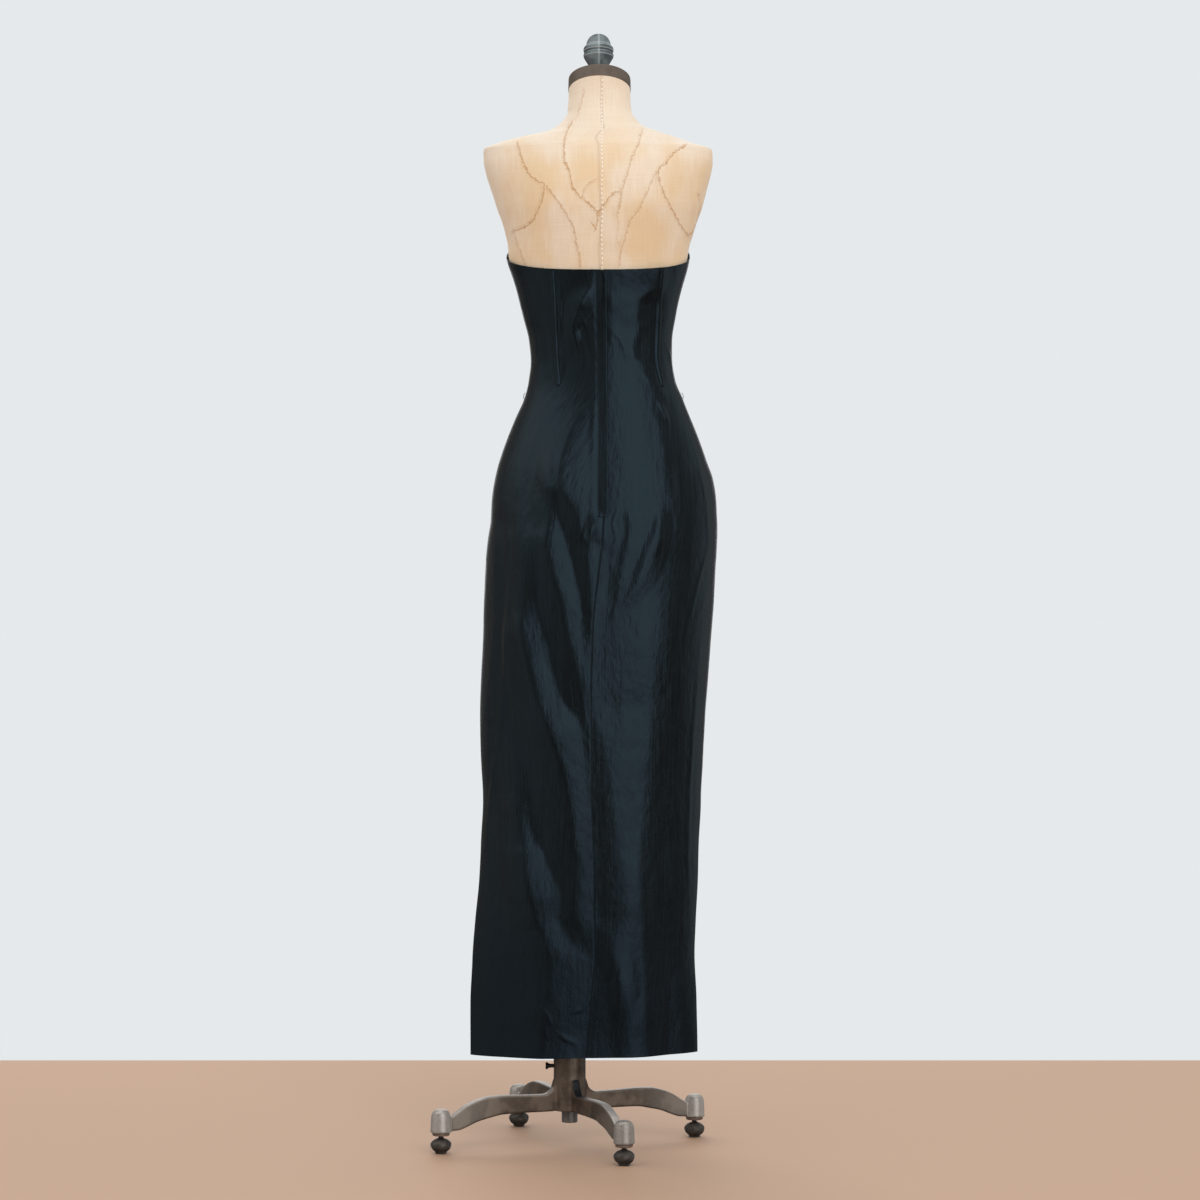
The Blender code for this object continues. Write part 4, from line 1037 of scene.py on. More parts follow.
def strip_mesh(heights, line, offsets, lifts, thickness):
    """A strip with its columns at offsets in X from a line.  Offsets, lifts and thickness are rules."""
    across = by_height(offsets, heights)
    z = np.repeat(np.array(heights)[:, None], across.shape[1], axis=1)
    angle = angle_at_x(line(z) + across, z)
    under = by_height(lifts, heights, across.shape[1])
    inner = cloth_grid(angle, z, under)
    outer = cloth_grid(angle, z, under + by_height(thickness, heights, across.shape[1]))
    return shell_mesh(inner, outer, np.stack([across, z], axis=-1), 60.0)


def off_panel(x, z, lift):
    """One point on the gown's back, lifted off the panel's inner side."""
    spot = cloth_grid(np.array([[angle_at_x(x, z)]]), np.array([[float(z)]]), lift)
    return Vector(spot[0, 0])


# %% The zip's lap
ON_PANEL = CLOTH_WALL + 0.0002
LAP_SIDES, LAP_HEAD = (-0.0090, 0.0068), BACK_TOP - 0.0012
LAP_SHARES = np.array([0.0, 0.02, 0.06, 0.12, 0.2, 0.3, 0.42, 0.54, 0.66, 0.78, 0.88, 0.95, 0.985, 1.0])
LAP_WALL, LAP_NOTCH, LAP_ARCH = 0.0011, 0.0048, 0.0026
rounded = np.sqrt(np.clip(1.02 - LAP_SHARES**24, 0.03, 1.0))
lap_thickness = LAP_WALL * np.minimum(1.0, 0.25 + LAP_SHARES * 9.0) * rounded


def lap_offsets(z):
    """Its free corner is turned in at the top, which leaves a small notch."""
    turned = LAP_NOTCH * ramp(z, LAP_HEAD - 0.012, LAP_HEAD)
    return LAP_SIDES[0] + (LAP_SIDES[1] - turned - LAP_SIDES[0]) * LAP_SHARES


def lap_lifts(z):
    """It arches over the slider at the top, and its free edge stands off the panel, not quite evenly."""
    arch = LAP_ARCH * ramp(z, ZIP_TOP - 0.060, ZIP_TOP - 0.022)
    free_edge = 0.0019 + 0.0004 * noise.noise(Vector((z * 60.0, 0.0, 2.0)))
    return ON_PANEL + ramp(LAP_SHARES, 0.0, 0.55) * arch * 0.8 + LAP_SHARES * free_edge


heights = np.linspace(ZIP_END, LAP_HEAD, 150)
lap_mesh = strip_mesh(heights, centre_back_at, lap_offsets, lap_lifts, lap_thickness)
lap = add_piece("lap_of_the_zip", lap_mesh, faille, "figure", ["zip_lap"])

# %% The bone channels
CHANNEL_FOOT, CHANNEL_HALF, CHANNEL_TAPE, BONE_RISE = 1.2110, 0.0045, 0.0003, 0.0021
CHANNELS = table(
    "height left_x right_x",
    (CHANNEL_FOOT, -0.0255, 0.1378),
    (1.262, -0.0290, 0.1291),
    (1.330, -0.0320, 0.1316),
    (1.389, -0.0352, 0.1345),
)
CHANNEL_SHARES = np.array([-1.0, -0.96, -0.86, -0.72, -0.56, -0.3, 0.0,
                           0.3, 0.42, 0.56, 0.72, 0.88, 0.96, 1.0])

# A channel is thin where it is stitched, round over the bone, and pulled straight down to its right seam.
rounded = np.clip(1.0 - np.abs(CHANNEL_SHARES / 0.84) ** 2.6, 0.0, 1.0)
pulled = np.clip((0.88 - CHANNEL_SHARES) / 0.46, 0.0, 1.0)
channel_thickness = CHANNEL_TAPE + BONE_RISE * np.where(CHANNEL_SHARES > 0.0, pulled, rounded)


def channel_offsets(z):
    """A channel ends in a round foot."""
    into = np.clip((z - CHANNEL_FOOT) / CHANNEL_HALF, 0.03, 1.0)
    return CHANNEL_HALF * np.sqrt(1.0 - (1.0 - into) ** 2) * CHANNEL_SHARES


channel_lines = {side: smooth_column(CHANNELS, side + "_x") for side in ("left", "right")}
for side, line in channel_lines.items():
    top = float(neckline(angle_at_x(line(ZIP_TOP), ZIP_TOP))) - 0.003
    heights = np.concatenate([CHANNEL_FOOT + CHANNEL_HALF * np.linspace(0.0, 1.0, 8) ** 2,
                              np.linspace(CHANNEL_FOOT + 0.006, top, 70)])
    mesh = strip_mesh(heights, line, channel_offsets, ON_PANEL, channel_thickness)
    add_piece("bone_channel_cover_" + side, mesh, faille, "figure",
                               ["bone_channel_" + side])

# %% [markdown]
# ## Rows of small things, by Geometry Nodes
# Stitches and zip teeth are one small shape repeated along a line, which is a job for Geometry Nodes.  The
# tree spaces points along a line, puts a flattened bead on each and turns it along the line.  It realizes
# the beads as mesh, shades them smooth and sets their material.  Python sets the tree's named inputs, bakes
# the result and throws the modifier away.

# %% The row tree
ROW = bpy.data.node_groups.new("row_of_beads", "GeometryNodeTree")
for label, kind in (("Line", "Geometry"), ("Pitch", "Float"), ("Size", "Vector"), ("Finish", "Material")):
    ROW.interface.new_socket(label, in_out="INPUT", socket_type="NodeSocket" + kind)
ROW.interface.new_socket("Beads", in_out="OUTPUT", socket_type="NodeSocketGeometry")
given = put(ROW, "NodeGroupInput").outputs
curve = put(ROW, "GeometryNodeMeshToCurve", {"Mesh": given["Line"]}).outputs[0]
points = put(ROW, "GeometryNodeCurveToPoints", {"Curve": curve, "Length": given["Pitch"]}, mode="LENGTH")
bead = put(ROW, "GeometryNodeMeshUVSphere", {"Segments": 8, "Rings": 5, "Radius": 0.5}).outputs[0]
turned = put(ROW, "FunctionNodeAlignRotationToVector", {"Vector": points.outputs["Tangent"]}, axis="X")
beads = put(ROW, "GeometryNodeInstanceOnPoints", {
    "Points": points.outputs["Points"], "Instance": bead,
    "Rotation": turned.outputs[0], "Scale": given["Size"],
}).outputs[0]
beads = put(ROW, "GeometryNodeRealizeInstances", {"Geometry": beads}).outputs[0]
beads = put(ROW, "GeometryNodeSetShadeSmooth", {"Geometry": beads}).outputs[0]
beads = put(ROW, "GeometryNodeSetMaterial", {"Geometry": beads, "Material": given["Finish"]}).outputs[0]
put(ROW, "NodeGroupOutput", {"Beads": beads})
socket_of = {item.name: item.identifier for item in ROW.interface.items_tree if item.in_out == "INPUT"}
print("inputs:", socket_of)


def row_of_beads(lines, pitch, size, finish):
    """The mesh of beads along one or more lines of points."""
    points, edges = [], []
    for line in lines:
        edges += [(len(points) + i, len(points) + i + 1) for i in range(len(line) - 1)]
        points += [tuple(point) for point in line]
    mesh = bpy.data.meshes.new("line")
    mesh.from_pydata(points, edges, [])
    carrier = add_object("line", mesh)
    modifier = carrier.modifiers.new("row", "NODES")
    modifier.node_group = ROW
    for label, value in (("Pitch", pitch), ("Size", size), ("Finish", finish)):
        modifier[socket_of[label]] = value
    return baked(carrier)


# %% Thread
thread, tree, shader, twist = two_toned("black_thread", 0.38, "ShaderNodeTexWave",
                                        {"Scale": 900.0, "Distortion": 1.0},
                                        (0.006, 0.007, 0.009), (0.016, 0.019, 0.022))
bump(tree, shader, twist, 1.0, 0.0001)

# %% Stitches of the lap and the channels
STITCH_PITCH, STITCH = 0.0024, (0.0019, 0.00045, 0.00035)
LAP_STITCHES, CHANNEL_STITCHES = -0.0078, (-0.0037, 0.0037)
stitch_lines = [
    [off_panel(centre_back_at(z) + LAP_STITCHES, z, ON_PANEL + 0.0011)
     for z in np.linspace(ZIP_END + 0.0015, LAP_HEAD - 0.002, 90)],
    [off_panel(centre_back_at(ZIP_END) + x, ZIP_END + 0.0022, ON_PANEL + 0.0017)
     for x in np.linspace(-0.0070, 0.0055, 9)],
]
for line in channel_lines.values():
    for way in CHANNEL_STITCHES:
        stitch_lines.append([off_panel(line(z) + way, z, ON_PANEL + 0.0005)
                             for z in np.linspace(CHANNEL_FOOT + 0.004, 1.386, 60)])
stitches = row_of_beads(stitch_lines, STITCH_PITCH, STITCH, thread)
gown_stitches = add_piece("gown_stitches", stitches, None, "figure")

# %% [markdown]
# ## Thread loops
# At each side of the waist a small loop of thread stands off the seam: it holds a hanger ribbon.  A tube of
# eight sides along a short arc is enough.

# %% A tube along points
def tube_mesh(path, radius, sides=8):
    """A closed tube along a line of points."""
    rings, normal = [], (path[1] - path[0]).orthogonal()
    for i, point in enumerate(path):
        ahead = (path[min(i + 1, len(path) - 1)] - path[max(i - 1, 0)]).normalized()
        normal = (normal - ahead * normal.dot(ahead)).normalized()
        other = ahead.cross(normal)
        rings.append([point + (normal * math.cos(t) + other * math.sin(t)) * radius
                      for t in (math.tau * k / sides for k in range(sides))])
    return skin_mesh(rings, sharp=180.0)


def join_meshes(meshes):
    """One mesh out of several, with their materials kept."""
    joined = bmesh.new()
    materials = []
    for mesh in meshes:
        before = len(joined.faces)
        joined.from_mesh(mesh)
        joined.faces.ensure_lookup_table()
        for face in joined.faces[before:]:
            used = mesh.materials[face.material_index] if mesh.materials else None
            if used not in materials:
                materials.append(used)
            face.material_index = materials.index(used)
    mesh = bpy.data.meshes.new("joined")
    joined.to_mesh(mesh)
    joined.free()
    for used in materials:
        mesh.materials.append(used)
    return mesh


LOOP_HEIGHT, LOOP_HALF, LOOP_REACH, LOOP_THREAD = 1.1970, 0.0060, 0.0032, 0.0004
LOOP_ROOT = CLOTH_CLEARANCE + CLOTH_WALL - 0.0008
loops = []
for angle, way in ((0.0, -1), (math.pi, 1)):
    x, y = section_xy(angle, LOOP_HEIGHT)
    loops.append(tube_mesh([
        Vector((x + way * (LOOP_ROOT + LOOP_REACH * math.sin(math.pi * t)), y - 0.0015 * t,
                LOOP_HEIGHT + LOOP_HALF * math.cos(math.pi * t))) for t in np.linspace(0.0, 1.0, 13)
    ], LOOP_THREAD))
add_piece("thread_loops", join_meshes(loops), thread, "figure")

# %% [markdown]
# ## The linen cover
# The form is papier-mache under a cover of unbleached linen.  Old glue water has crept through it and dried
# in brown tide lines.  They are drawn as lines of points in millimetres, and each point of the mesh keeps
# its distance to the nearest line as an attribute that the material reads.

# %% Stains and seams
STAINS = {
    "left_shoulder": (1.0, ((-90, 1595), (-86, 1578), (-79, 1557), (-70, 1541), (-60, 1532), (-47, 1527),
                            (-48, 1517), (-51, 1501), (-57, 1486), (-65, 1471), (-77, 1462), (-98, 1456))),
    "left_blade": (0.75, ((-47, 1527), (-35, 1510), (-21, 1491), (-9, 1472), (-1, 1457), (2, 1435),
                          (7, 1416), (9, 1397))),
    "neck_left": (1.0, ((-4, 1632), (-13, 1612), (-17, 1588), (-16, 1563), (-8, 1545), (-3, 1520), (9, 1504),
                        (22, 1495), (33, 1484), (37, 1479), (47, 1494), (60, 1511), (72, 1513))),
    "neck_hook": (0.55, ((12, 1502), (14, 1515), (22, 1526), (33, 1532))),
    "neck_right": (0.7, ((107, 1616), (101, 1590), (90, 1568), (84, 1545), (76, 1521), (72, 1500),
                         (68, 1478))),
    "right_shoulder": (0.95, ((175, 1592), (154, 1576), (144, 1561), (131, 1550), (134, 1530), (142, 1509),
                              (154, 1488), (166, 1467), (180, 1451), (187, 1459))),
    "right_loop": (0.6, ((187, 1459), (196, 1478), (199, 1500), (196, 1516))),
    "right_blade": (0.6, ((131, 1551), (119, 1524), (103, 1488), (87, 1468), (81, 1446), (73, 1420),
                          (70, 1398))),
    "nape": (0.5, ((15, 1686), (10, 1664), (4, 1640))),
    "spine_low": (0.85, ((37, 1479), (36, 1466), (33, 1455), (28, 1462))),
    "spine_right": (0.3, ((66, 1478), (70, 1462), (66, 1440), (72, 1425))),
    "side_left": (0.5, ((-97, 1460), (-92, 1440), (-84, 1418), (-76, 1397))),
}
FRONT_STAINS = {
    "front_left": (0.8, ((-110, 1585), (-96, 1560), (-84, 1541), (-60, 1528), (-52, 1510), (-66, 1490),
                         (-90, 1480))),
    "front_right": (0.7, ((150, 1590), (140, 1565), (120, 1548), (96, 1530), (90, 1508), (104, 1490))),
    "throat": (0.6, ((20, 1625), (14, 1590), (24, 1560), (44, 1540), (58, 1552), (70, 1580))),
}


def stain_field(x, z, stains):
    """Each point's signed distance to the nearest stain's rim, in millimetres, and how much of it shows."""
    x, z = x * 1000, z * 1000
    gap, seen = np.full(len(x), 9.0), np.zeros(len(x))
    for strength, points in stains.values():
        for start, end in zip(points, points[1:]):
            _, away, side = beside(x, z, start, end)
            nearer = away < np.abs(gap)
            gap = np.where(nearer, side * away, gap)
            seen = np.where(nearer, strength * (1.0 - ramp(away, 4.5, 8.0)), seen)
    return gap, seen


# %% The cover's mesh
NECK_TOP, NECK_RADIUS, NECK_TILT = 1.690, 0.0495, math.radians(21.0)
COVER_ROWS = ((FORM_BOTTOM, 1.370, 26), (1.3725, 1.585, 86), (1.5865, 1.632, 30), (1.634, NECK_TOP, 26))
COVER_COLUMNS, COVER_TUCK, STAINS_FROM = 400, 0.012, 1.36
neck_middle = Vector((middle_at(NECK_TOP), (front_at(NECK_TOP) - back_at(NECK_TOP)) / 2, NECK_TOP))
neck_lean = smooth_through((1.613, 1.621, 1.630, 1.645, 1.662, NECK_TOP), (0.0, 0.0, 0.02, 0.25, 0.60, 1.0))


def cover_xy(angle, z, tuck=0.0):
    """The cover's section: the figure's own, which turns into a round cut under the neck cap."""
    round_cut = np.stack([neck_middle.x - NECK_RADIUS * np.cos(angle),
                          neck_middle.y - NECK_RADIUS * math.cos(NECK_TILT) * np.sin(angle)], axis=-1)
    share = np.asarray(ramp(z, 1.621, NECK_TOP))[..., None]
    return section_xy(angle, z, tuck) * (1.0 - share) + round_cut * share


def leaned(flat, z):
    """The height of a point of the cover, whose top slopes under the neck cap."""
    return z - neck_lean(z) * math.tan(NECK_TILT) * (flat[..., 1] - neck_middle.y)


def cover_mesh():
    """The cover, tucked in a little at its foot, with its cloth map and its stains."""
    turns = np.arange(COVER_COLUMNS) / COVER_COLUMNS * math.tau
    angle, z = np.meshgrid(turns, np.concatenate([np.linspace(*rows) for rows in COVER_ROWS]))
    flat = cover_xy(angle, z, COVER_TUCK * (1.0 - ramp(z, FORM_BOTTOM, 1.035)))
    rings = np.concatenate([flat, leaned(flat, z)[..., None]], axis=-1)
    mesh = skin_mesh(rings)
    run = np.cumsum(np.linalg.norm(np.diff(flat, axis=1, append=flat[:, :1]), axis=-1), axis=1)
    at_back = COVER_COLUMNS // 4 - 1
    lay_uv(mesh, np.stack([run - run[:, at_back:at_back + 1], z], axis=-1).reshape(-1, 2))
    x, y, z = rings.reshape(-1, 3).T
    gap, seen = np.full(len(x), 9.0), np.zeros(len(x))
    for stains, there in ((STAINS, y < 0), (FRONT_STAINS, y >= 0)):
        there = there & (z > STAINS_FROM)
        gap[there], seen[there] = stain_field(x[there], z[there], stains)
    store(mesh, "stain_gap", gap)
    store(mesh, "stain_seen", seen)
    return mesh


# %% Linen
linen, tree, shader = new_finish("old_linen", 0.88)
cloth_uv = put(tree, "ShaderNodeUVMap", uv_map="cloth").outputs[0]
weave = use(tree, THREADS, {"Vector": cloth_uv, "Warp Pitch": 0.0009, "Weft Pitch": 0.0010})["Height"]
upright = use(tree, STREAKS, {"Vector": cloth_uv, "Across": 620.0, "Along": 22.0})["Streak"]
flat_run = use(tree, STREAKS, {"Vector": cloth_uv, "Across": 25.0, "Along": 500.0})["Streak"]
patches = use(tree, STREAKS, {"Vector": cloth_uv, "Across": 14.0, "Along": 8.0, "Detail": 4.0})["Streak"]
tone = blend(tree, remap(tree, patches, 0.38, 0.62), (0.775, 0.650, 0.505), (0.745, 0.560, 0.350))
place = put(tree, "ShaderNodeTexCoord").outputs["Object"]
level = put(tree, "ShaderNodeSeparateXYZ", {0: place}).outputs["Z"]
tone = blend(tree, remap(tree, level, 1.545, 1.650, 0.0, 0.65), tone, (0.765, 0.660, 0.545))
threads = calc(tree, "ADD", upright, calc(tree, "MULTIPLY", flat_run, 0.6))
tone = blend(tree, remap(tree, threads, 0.60, 1.00, 0.0, 0.30), tone, (0.62, 0.46, 0.31))
# Painted shadow: a soft brown line runs along the cover's seam, under and beside its stitches.
sideways = put(tree, "ShaderNodeSeparateXYZ", {0: cloth_uv}).outputs["X"]
from_seam = calc(tree, "ABSOLUTE", calc(tree, "SUBTRACT", sideways, 0.0038))
tone = blend(tree, remap(tree, from_seam, 0.0010, 0.0032, 0.38, 0.0), tone, (0.50, 0.36, 0.23))
gap = put(tree, "ShaderNodeAttribute", attribute_name="stain_gap").outputs["Fac"]
seen = put(tree, "ShaderNodeAttribute", attribute_name="stain_seen").outputs["Fac"]
ragged = put(tree, "ShaderNodeTexNoise", {"Vector": cloth_uv, "Scale": 210.0, "Detail": 3.0,
                                          "Roughness": 0.6}).outputs[0]
gap = calc(tree, "ADD", gap, remap(tree, ragged, 0.2, 0.8, -3.4, 3.4, smooth=False))
rim = remap(tree, calc(tree, "ABSOLUTE", gap), 0.5, 1.6, 0.80, 0.0)
wash = calc(tree, "MULTIPLY", remap(tree, gap, 0.0, 7.0, 0.22, 0.0), remap(tree, gap, -0.6, 0.6))
marked = calc(tree, "MULTIPLY", seen, calc(tree, "MAXIMUM", rim, wash))
feed(tree, shader.inputs["Base Color"], blend(tree, marked, tone, (0.47, 0.255, 0.105)))
shader.inputs["Sheen Weight"].default_value = 0.30
shader.inputs["Sheen Roughness"].default_value = 0.5
bump(tree, shader, calc(tree, "ADD", weave, calc(tree, "MULTIPLY", upright, 0.8)), 0.6, 0.00025)
add_piece("linen_cover", cover_mesh(), linen, "figure", ["form_torso"])

# %% The cover's whitish seam stitches
def on_cover(x, z, lift):
    """A point on the back of the cover, lifted off it."""
    angle = angle_at_x(x, z)
    flat = cover_xy(angle, z) + outward(angle, z) * lift
    return Vector((*flat, leaned(flat, z)))


COVER_SEAM, COVER_PITCH, COVER_STITCH = 0.0430, 0.0072, (0.0053, 0.0032, 0.0018)
seam_thread, *_ = two_toned("whitish_thread", 0.7, "ShaderNodeTexNoise", {"Scale": 160.0},
                            (0.96, 0.93, 0.88), (0.88, 0.80, 0.69))
seam_line = [on_cover(COVER_SEAM + 0.0006 * math.sin(z * 90.0), z, 0.0008)
             for z in np.linspace(1.3940, 1.6830, 120)]
seam_stitches = row_of_beads([seam_line], COVER_PITCH, COVER_STITCH, seam_thread)
add_piece("cover_seam_stitches", seam_stitches, None, "figure")

# %% [markdown]
# ## Turned and cast metal
# Most of the hardware is round, so it is turned: a profile of (radius, height) points is softened by
# cutting its corners a few times, and then spun.  Two shader groups serve all of it.  "cast_skin" is the
# grain of metal poured into sand, and "patina" mixes three tones by noise, the way old handled metal goes
# blotchy.

# %% Spinning a profile
def soften(profile, times=2):
    """Rounds a line of points by cutting its corners."""
    line = np.array(profile, float)
    for _ in range(times):
        before, after = line[:-1], line[1:]
        cut = np.stack([0.75 * before + 0.25 * after, 0.25 * before + 0.75 * after], axis=1)
        line = np.concatenate([line[:1], cut.reshape(-1, 2), line[-1:]])
    return line


def turned_mesh(profile, place=Matrix(), count=72, hollow=False, lumps=0.0):
    """A profile spun round Z, then put in its place.  lumps is the share by which noise dents it."""
    turns = np.arange(count) / count * math.tau
    rings = []
    for radius, height in profile:
        radius = max(radius, 0.00008)
        ring = []
        for t in turns:
            way = Vector((math.cos(t), math.sin(t), 0.0))
            dent = 1.0 + lumps * noise.noise(way * 2.6 + Vector((0, 0, height * 160.0)))
            ring.append(tuple(place @ (way * radius * dent + Vector((0, 0, height)))))
        rings.append(ring)
    return skin_mesh(rings, hollow)


# %% Groups for metal
CAST, given = new_group("cast_skin", {"Vector": "vector", "Scale": 500.0, "Pits": 0.5}, {"Height": 0.0})
grain = put(CAST, "ShaderNodeTexNoise", {"Vector": given["Vector"], "Scale": given["Scale"], "Detail": 3.0})
pits = put(CAST, "ShaderNodeTexVoronoi", {"Vector": given["Vector"], "Scale": 260.0})
hole = calc(CAST, "MULTIPLY", remap(CAST, pits.outputs["Distance"], 0.05, 0.30), given["Pits"])
put(CAST, "NodeGroupOutput", {"Height": calc(CAST, "ADD", grain.outputs[0], hole)})

PATINA, given = new_group(
    "patina",
    {"Vector": "vector", "Scale": 45.0, "Wear": 0.0,
     "Dark": "colour", "Middle": "colour", "Light": "colour"},
    {"Colour": "colour", "Spots": 0.0},
)
finer = calc(PATINA, "MULTIPLY", given["Scale"], 7.0)
cloud, fine = (
    put(PATINA, "ShaderNodeTexNoise", {"Vector": given["Vector"], "Scale": scale, "Detail": detail})
    for scale, detail in ((given["Scale"], 5.0), (finer, 4.0))
)
tone = blend(PATINA, remap(PATINA, cloud.outputs[0], 0.38, 0.60), given["Dark"], given["Middle"])
wear_and_highlight = calc(PATINA, "MULTIPLY", given["Wear"], remap(PATINA, fine.outputs[0], 0.30, 0.60, 0.80, 1.0))
tone = blend(PATINA, wear_and_highlight, tone, given["Light"])
put(PATINA, "NodeGroupOutput", {"Colour": tone, "Spots": fine.outputs[0]})

# %% The metals
METALS = table(
    "name dark middle light roughness metallic scale wear grain",
    ("brown_cap_metal", (0.085, 0.058, 0.040), (0.125, 0.092, 0.068), (0.19, 0.16, 0.135),
     0.42, 0.25, 40.0, 0.35, 0.0002),
    ("grey_green_iron", (0.070, 0.086, 0.092), (0.175, 0.208, 0.212), (0.42, 0.47, 0.475),
     0.44, 0.10, 38.0, "wear", 0.0003),
    ("cast_iron", (0.118, 0.088, 0.067), (0.205, 0.151, 0.114), (0.62, 0.57, 0.52),
     0.36, 0.65, 34.0, "wear", 0.0004),
    ("dark_castor_metal", (0.016, 0.013, 0.011), (0.060, 0.048, 0.040), (0.19, 0.165, 0.145),
     0.29, 0.45, 70.0, 0.30, 0.0006),
    ("brown_collar_metal", (0.10, 0.055, 0.035), (0.16, 0.10, 0.07), (0.30, 0.24, 0.20),
     0.45, 0.20, 90.0, 0.30, 0.0004),
    ("old_steel", (0.09, 0.075, 0.062), (0.16, 0.145, 0.13), (0.34, 0.32, 0.30),
     0.34, 0.6, 25.0, 0.3, 0.0001),
    ("black_screw_paint", (0.006, 0.006, 0.006), (0.011, 0.010, 0.010), (0.03, 0.028, 0.026),
     0.38, 0.0, 80.0, 0.2, 0.0001),
    ("zip_metal", (0.16, 0.16, 0.165), (0.24, 0.24, 0.245), (0.42, 0.42, 0.43),
     0.30, 0.8, 120.0, 0.3, 0.00005),
)


def old_metal(row):
    """Cast or turned metal with a patina.  Its wear is a share, or names an attribute that holds it.

    Where the mesh holds painted shade in an attribute, the metal is darkened there towards near black."""
    made, tree, shader = new_finish(row.name, row.roughness, row.metallic)
    place = put(tree, "ShaderNodeTexCoord").outputs["Object"]
    wear = row.wear
    if isinstance(wear, str):
        wear = put(tree, "ShaderNodeAttribute", attribute_name=wear).outputs["Fac"]
    skin = use(tree, PATINA, {"Vector": place, "Scale": row.scale, "Dark": row.dark, "Middle": row.middle,
                              "Light": row.light, "Wear": wear})
    painted_shade = put(tree, "ShaderNodeAttribute", attribute_name="painted_shade").outputs["Fac"]
    # Painted shade: the colour goes towards near black where the attribute is set.
    tone = blend(tree, painted_shade, skin["Colour"], (0.020, 0.022, 0.026))
    feed(tree, shader.inputs["Base Color"], tone)
    rough = remap(tree, skin["Spots"], 0.3, 0.7, row.roughness - 0.08, row.roughness + 0.10)
    feed(tree, shader.inputs["Roughness"], rough)
    bump(tree, shader, use(tree, CAST, {"Vector": place})["Height"], 0.5, row.grain)
    return made


METAL = {row.name: old_metal(row) for row in METALS}

# %% The neck cap and the finial
neck = Matrix.Translation(neck_middle) @ Matrix.Rotation(-NECK_TILT, 4, "X")
CAP_PROFILE = ((0.0, 0.0), (0.0502, 0.0), (0.0502, 0.0), (0.0502, 0.0010), (0.0499, 0.0182),
               (0.0497, 0.0200), (0.0480, 0.0212), (0.0440, 0.0214), (0.0, 0.0224))
cap_mesh = turned_mesh(soften(CAP_PROFILE), neck @ Matrix.Translation((0, 0, 0.0003)), 128)
add_piece("neck_cap_spun", cap_mesh, METAL["brown_cap_metal"], "figure", ["neck_cap"])

FINIAL_PROFILE = (
    (0.0, 0.0), (0.0165, 0.0), (0.0165, 0.0030), (0.0105, 0.0055), (0.0105, 0.0133),
    (0.0150, 0.0188), (0.0172, 0.0233), (0.0207, 0.0289), (0.0238, 0.0345), (0.0243, 0.0366),
    (0.0243, 0.0385), (0.0232, 0.0405), (0.0217, 0.0414), (0.0217, 0.0424), (0.0232, 0.0433),
    (0.0243, 0.0452), (0.0243, 0.0468), (0.0238, 0.0505), (0.0205, 0.0536), (0.0200, 0.0548),
    (0.0194, 0.0580), (0.0181, 0.0622), (0.0152, 0.0672), (0.0100, 0.0712), (0.0050, 0.0727),
    (0.0, 0.0729),
)
RING_EDGES = (0.0352, 0.0408, 0.0448, 0.0508, 0.0545)
finial_seat = neck @ Matrix.Translation((-0.0016, 0.0, 0.0224 + 0.0006))
finial_lean = NECK_TILT - math.radians(10.0)
MOULD_LINE, MOULD_WIDTH, MOULD_RISE, EDGE_WIDTH = 0.0006, 0.0011, 0.00045, 0.0008
finial_mesh = turned_mesh(soften(FINIAL_PROFILE), Matrix(), 96)
finial_wear = []
for vert in finial_mesh.vertices:
    mould_line = math.exp(-((vert.co.x - MOULD_LINE) / MOULD_WIDTH) ** 2) * float(vert.co.z > 0.018)
    edge = max(math.exp(-((vert.co.z - height) / EDGE_WIDTH) ** 2) for height in RING_EDGES)
    finial_wear.append(min(1.0, 0.85 * mould_line + 0.75 * edge))
    radius = vert.co.xy.length
    if radius > 0.004:
        vert.co.xy *= 1.0 + MOULD_RISE * mould_line / radius
    share = float(ramp(vert.co.z, 0.0030, 0.0183))
    vert.co = finial_seat @ (Matrix.Rotation(finial_lean * share, 4, "X") @ vert.co)
store(finial_mesh, "wear", np.array(finial_wear))
add_piece("finial_acorn", finial_mesh, METAL["grey_green_iron"], "figure", ["finial"])

# %% [markdown]
# ## The cast stand
# The hub and its four legs are one casting on the real stand, with round inside corners where the legs
# spring from the hub.  A voxel remesh gives just that: it melts the overlapping parts into one skin and
# leaves soft fillets.  Hands and floor cloths have worn the sockets bright.  A painted highlight runs along
# the legs' top edges, and painted shade darkens leg b's top by the hub and the pin holes.  The mesh stores
# these as attributes too.

# %% Legs and sockets
POST_X, POST_RADIUS, BORE_RADIUS, HUB_RADIUS = -0.0086, 0.0127, 0.0135, 0.0257
HUB_BOTTOM, HUB_TOP, SCREW_HEIGHT = 0.0560, 0.1800, 0.1270
FOOT_CIRCLE, LEG_ANGLE, LEG_WIDTH = 0.2194, math.radians(23.0), 0.0137
LEG = table(
    "reach top bottom",
    (0.0180, 0.1120, 0.0572),
    (0.0260, 0.1080, 0.0570),
    (0.0285, 0.0980, 0.0565),
    (0.0340, 0.0890, 0.0562),
    (0.0450, 0.0840, 0.0562),
    (0.0800, 0.0847, 0.0566),
    (0.1150, 0.0860, 0.0560),
    (0.1380, 0.0854, 0.0520),
    (0.1590, 0.0811, 0.0470),
    (0.1780, 0.0737, 0.0395),
    (0.1920, 0.0647, 0.0352),
    (0.2060, 0.0560, 0.0347),
)
SOCKET = ((0.0, 0.0336), (0.0164, 0.0336), (0.0164, 0.0336), (0.0166, 0.0365), (0.0162, 0.0430),
          (0.0158, 0.0540), (0.0150, 0.0620), (0.0118, 0.0676), (0.0060, 0.0699), (0.0, 0.0702))
leg_top = smooth_through([row.reach for row in LEG], [row.top for row in LEG])
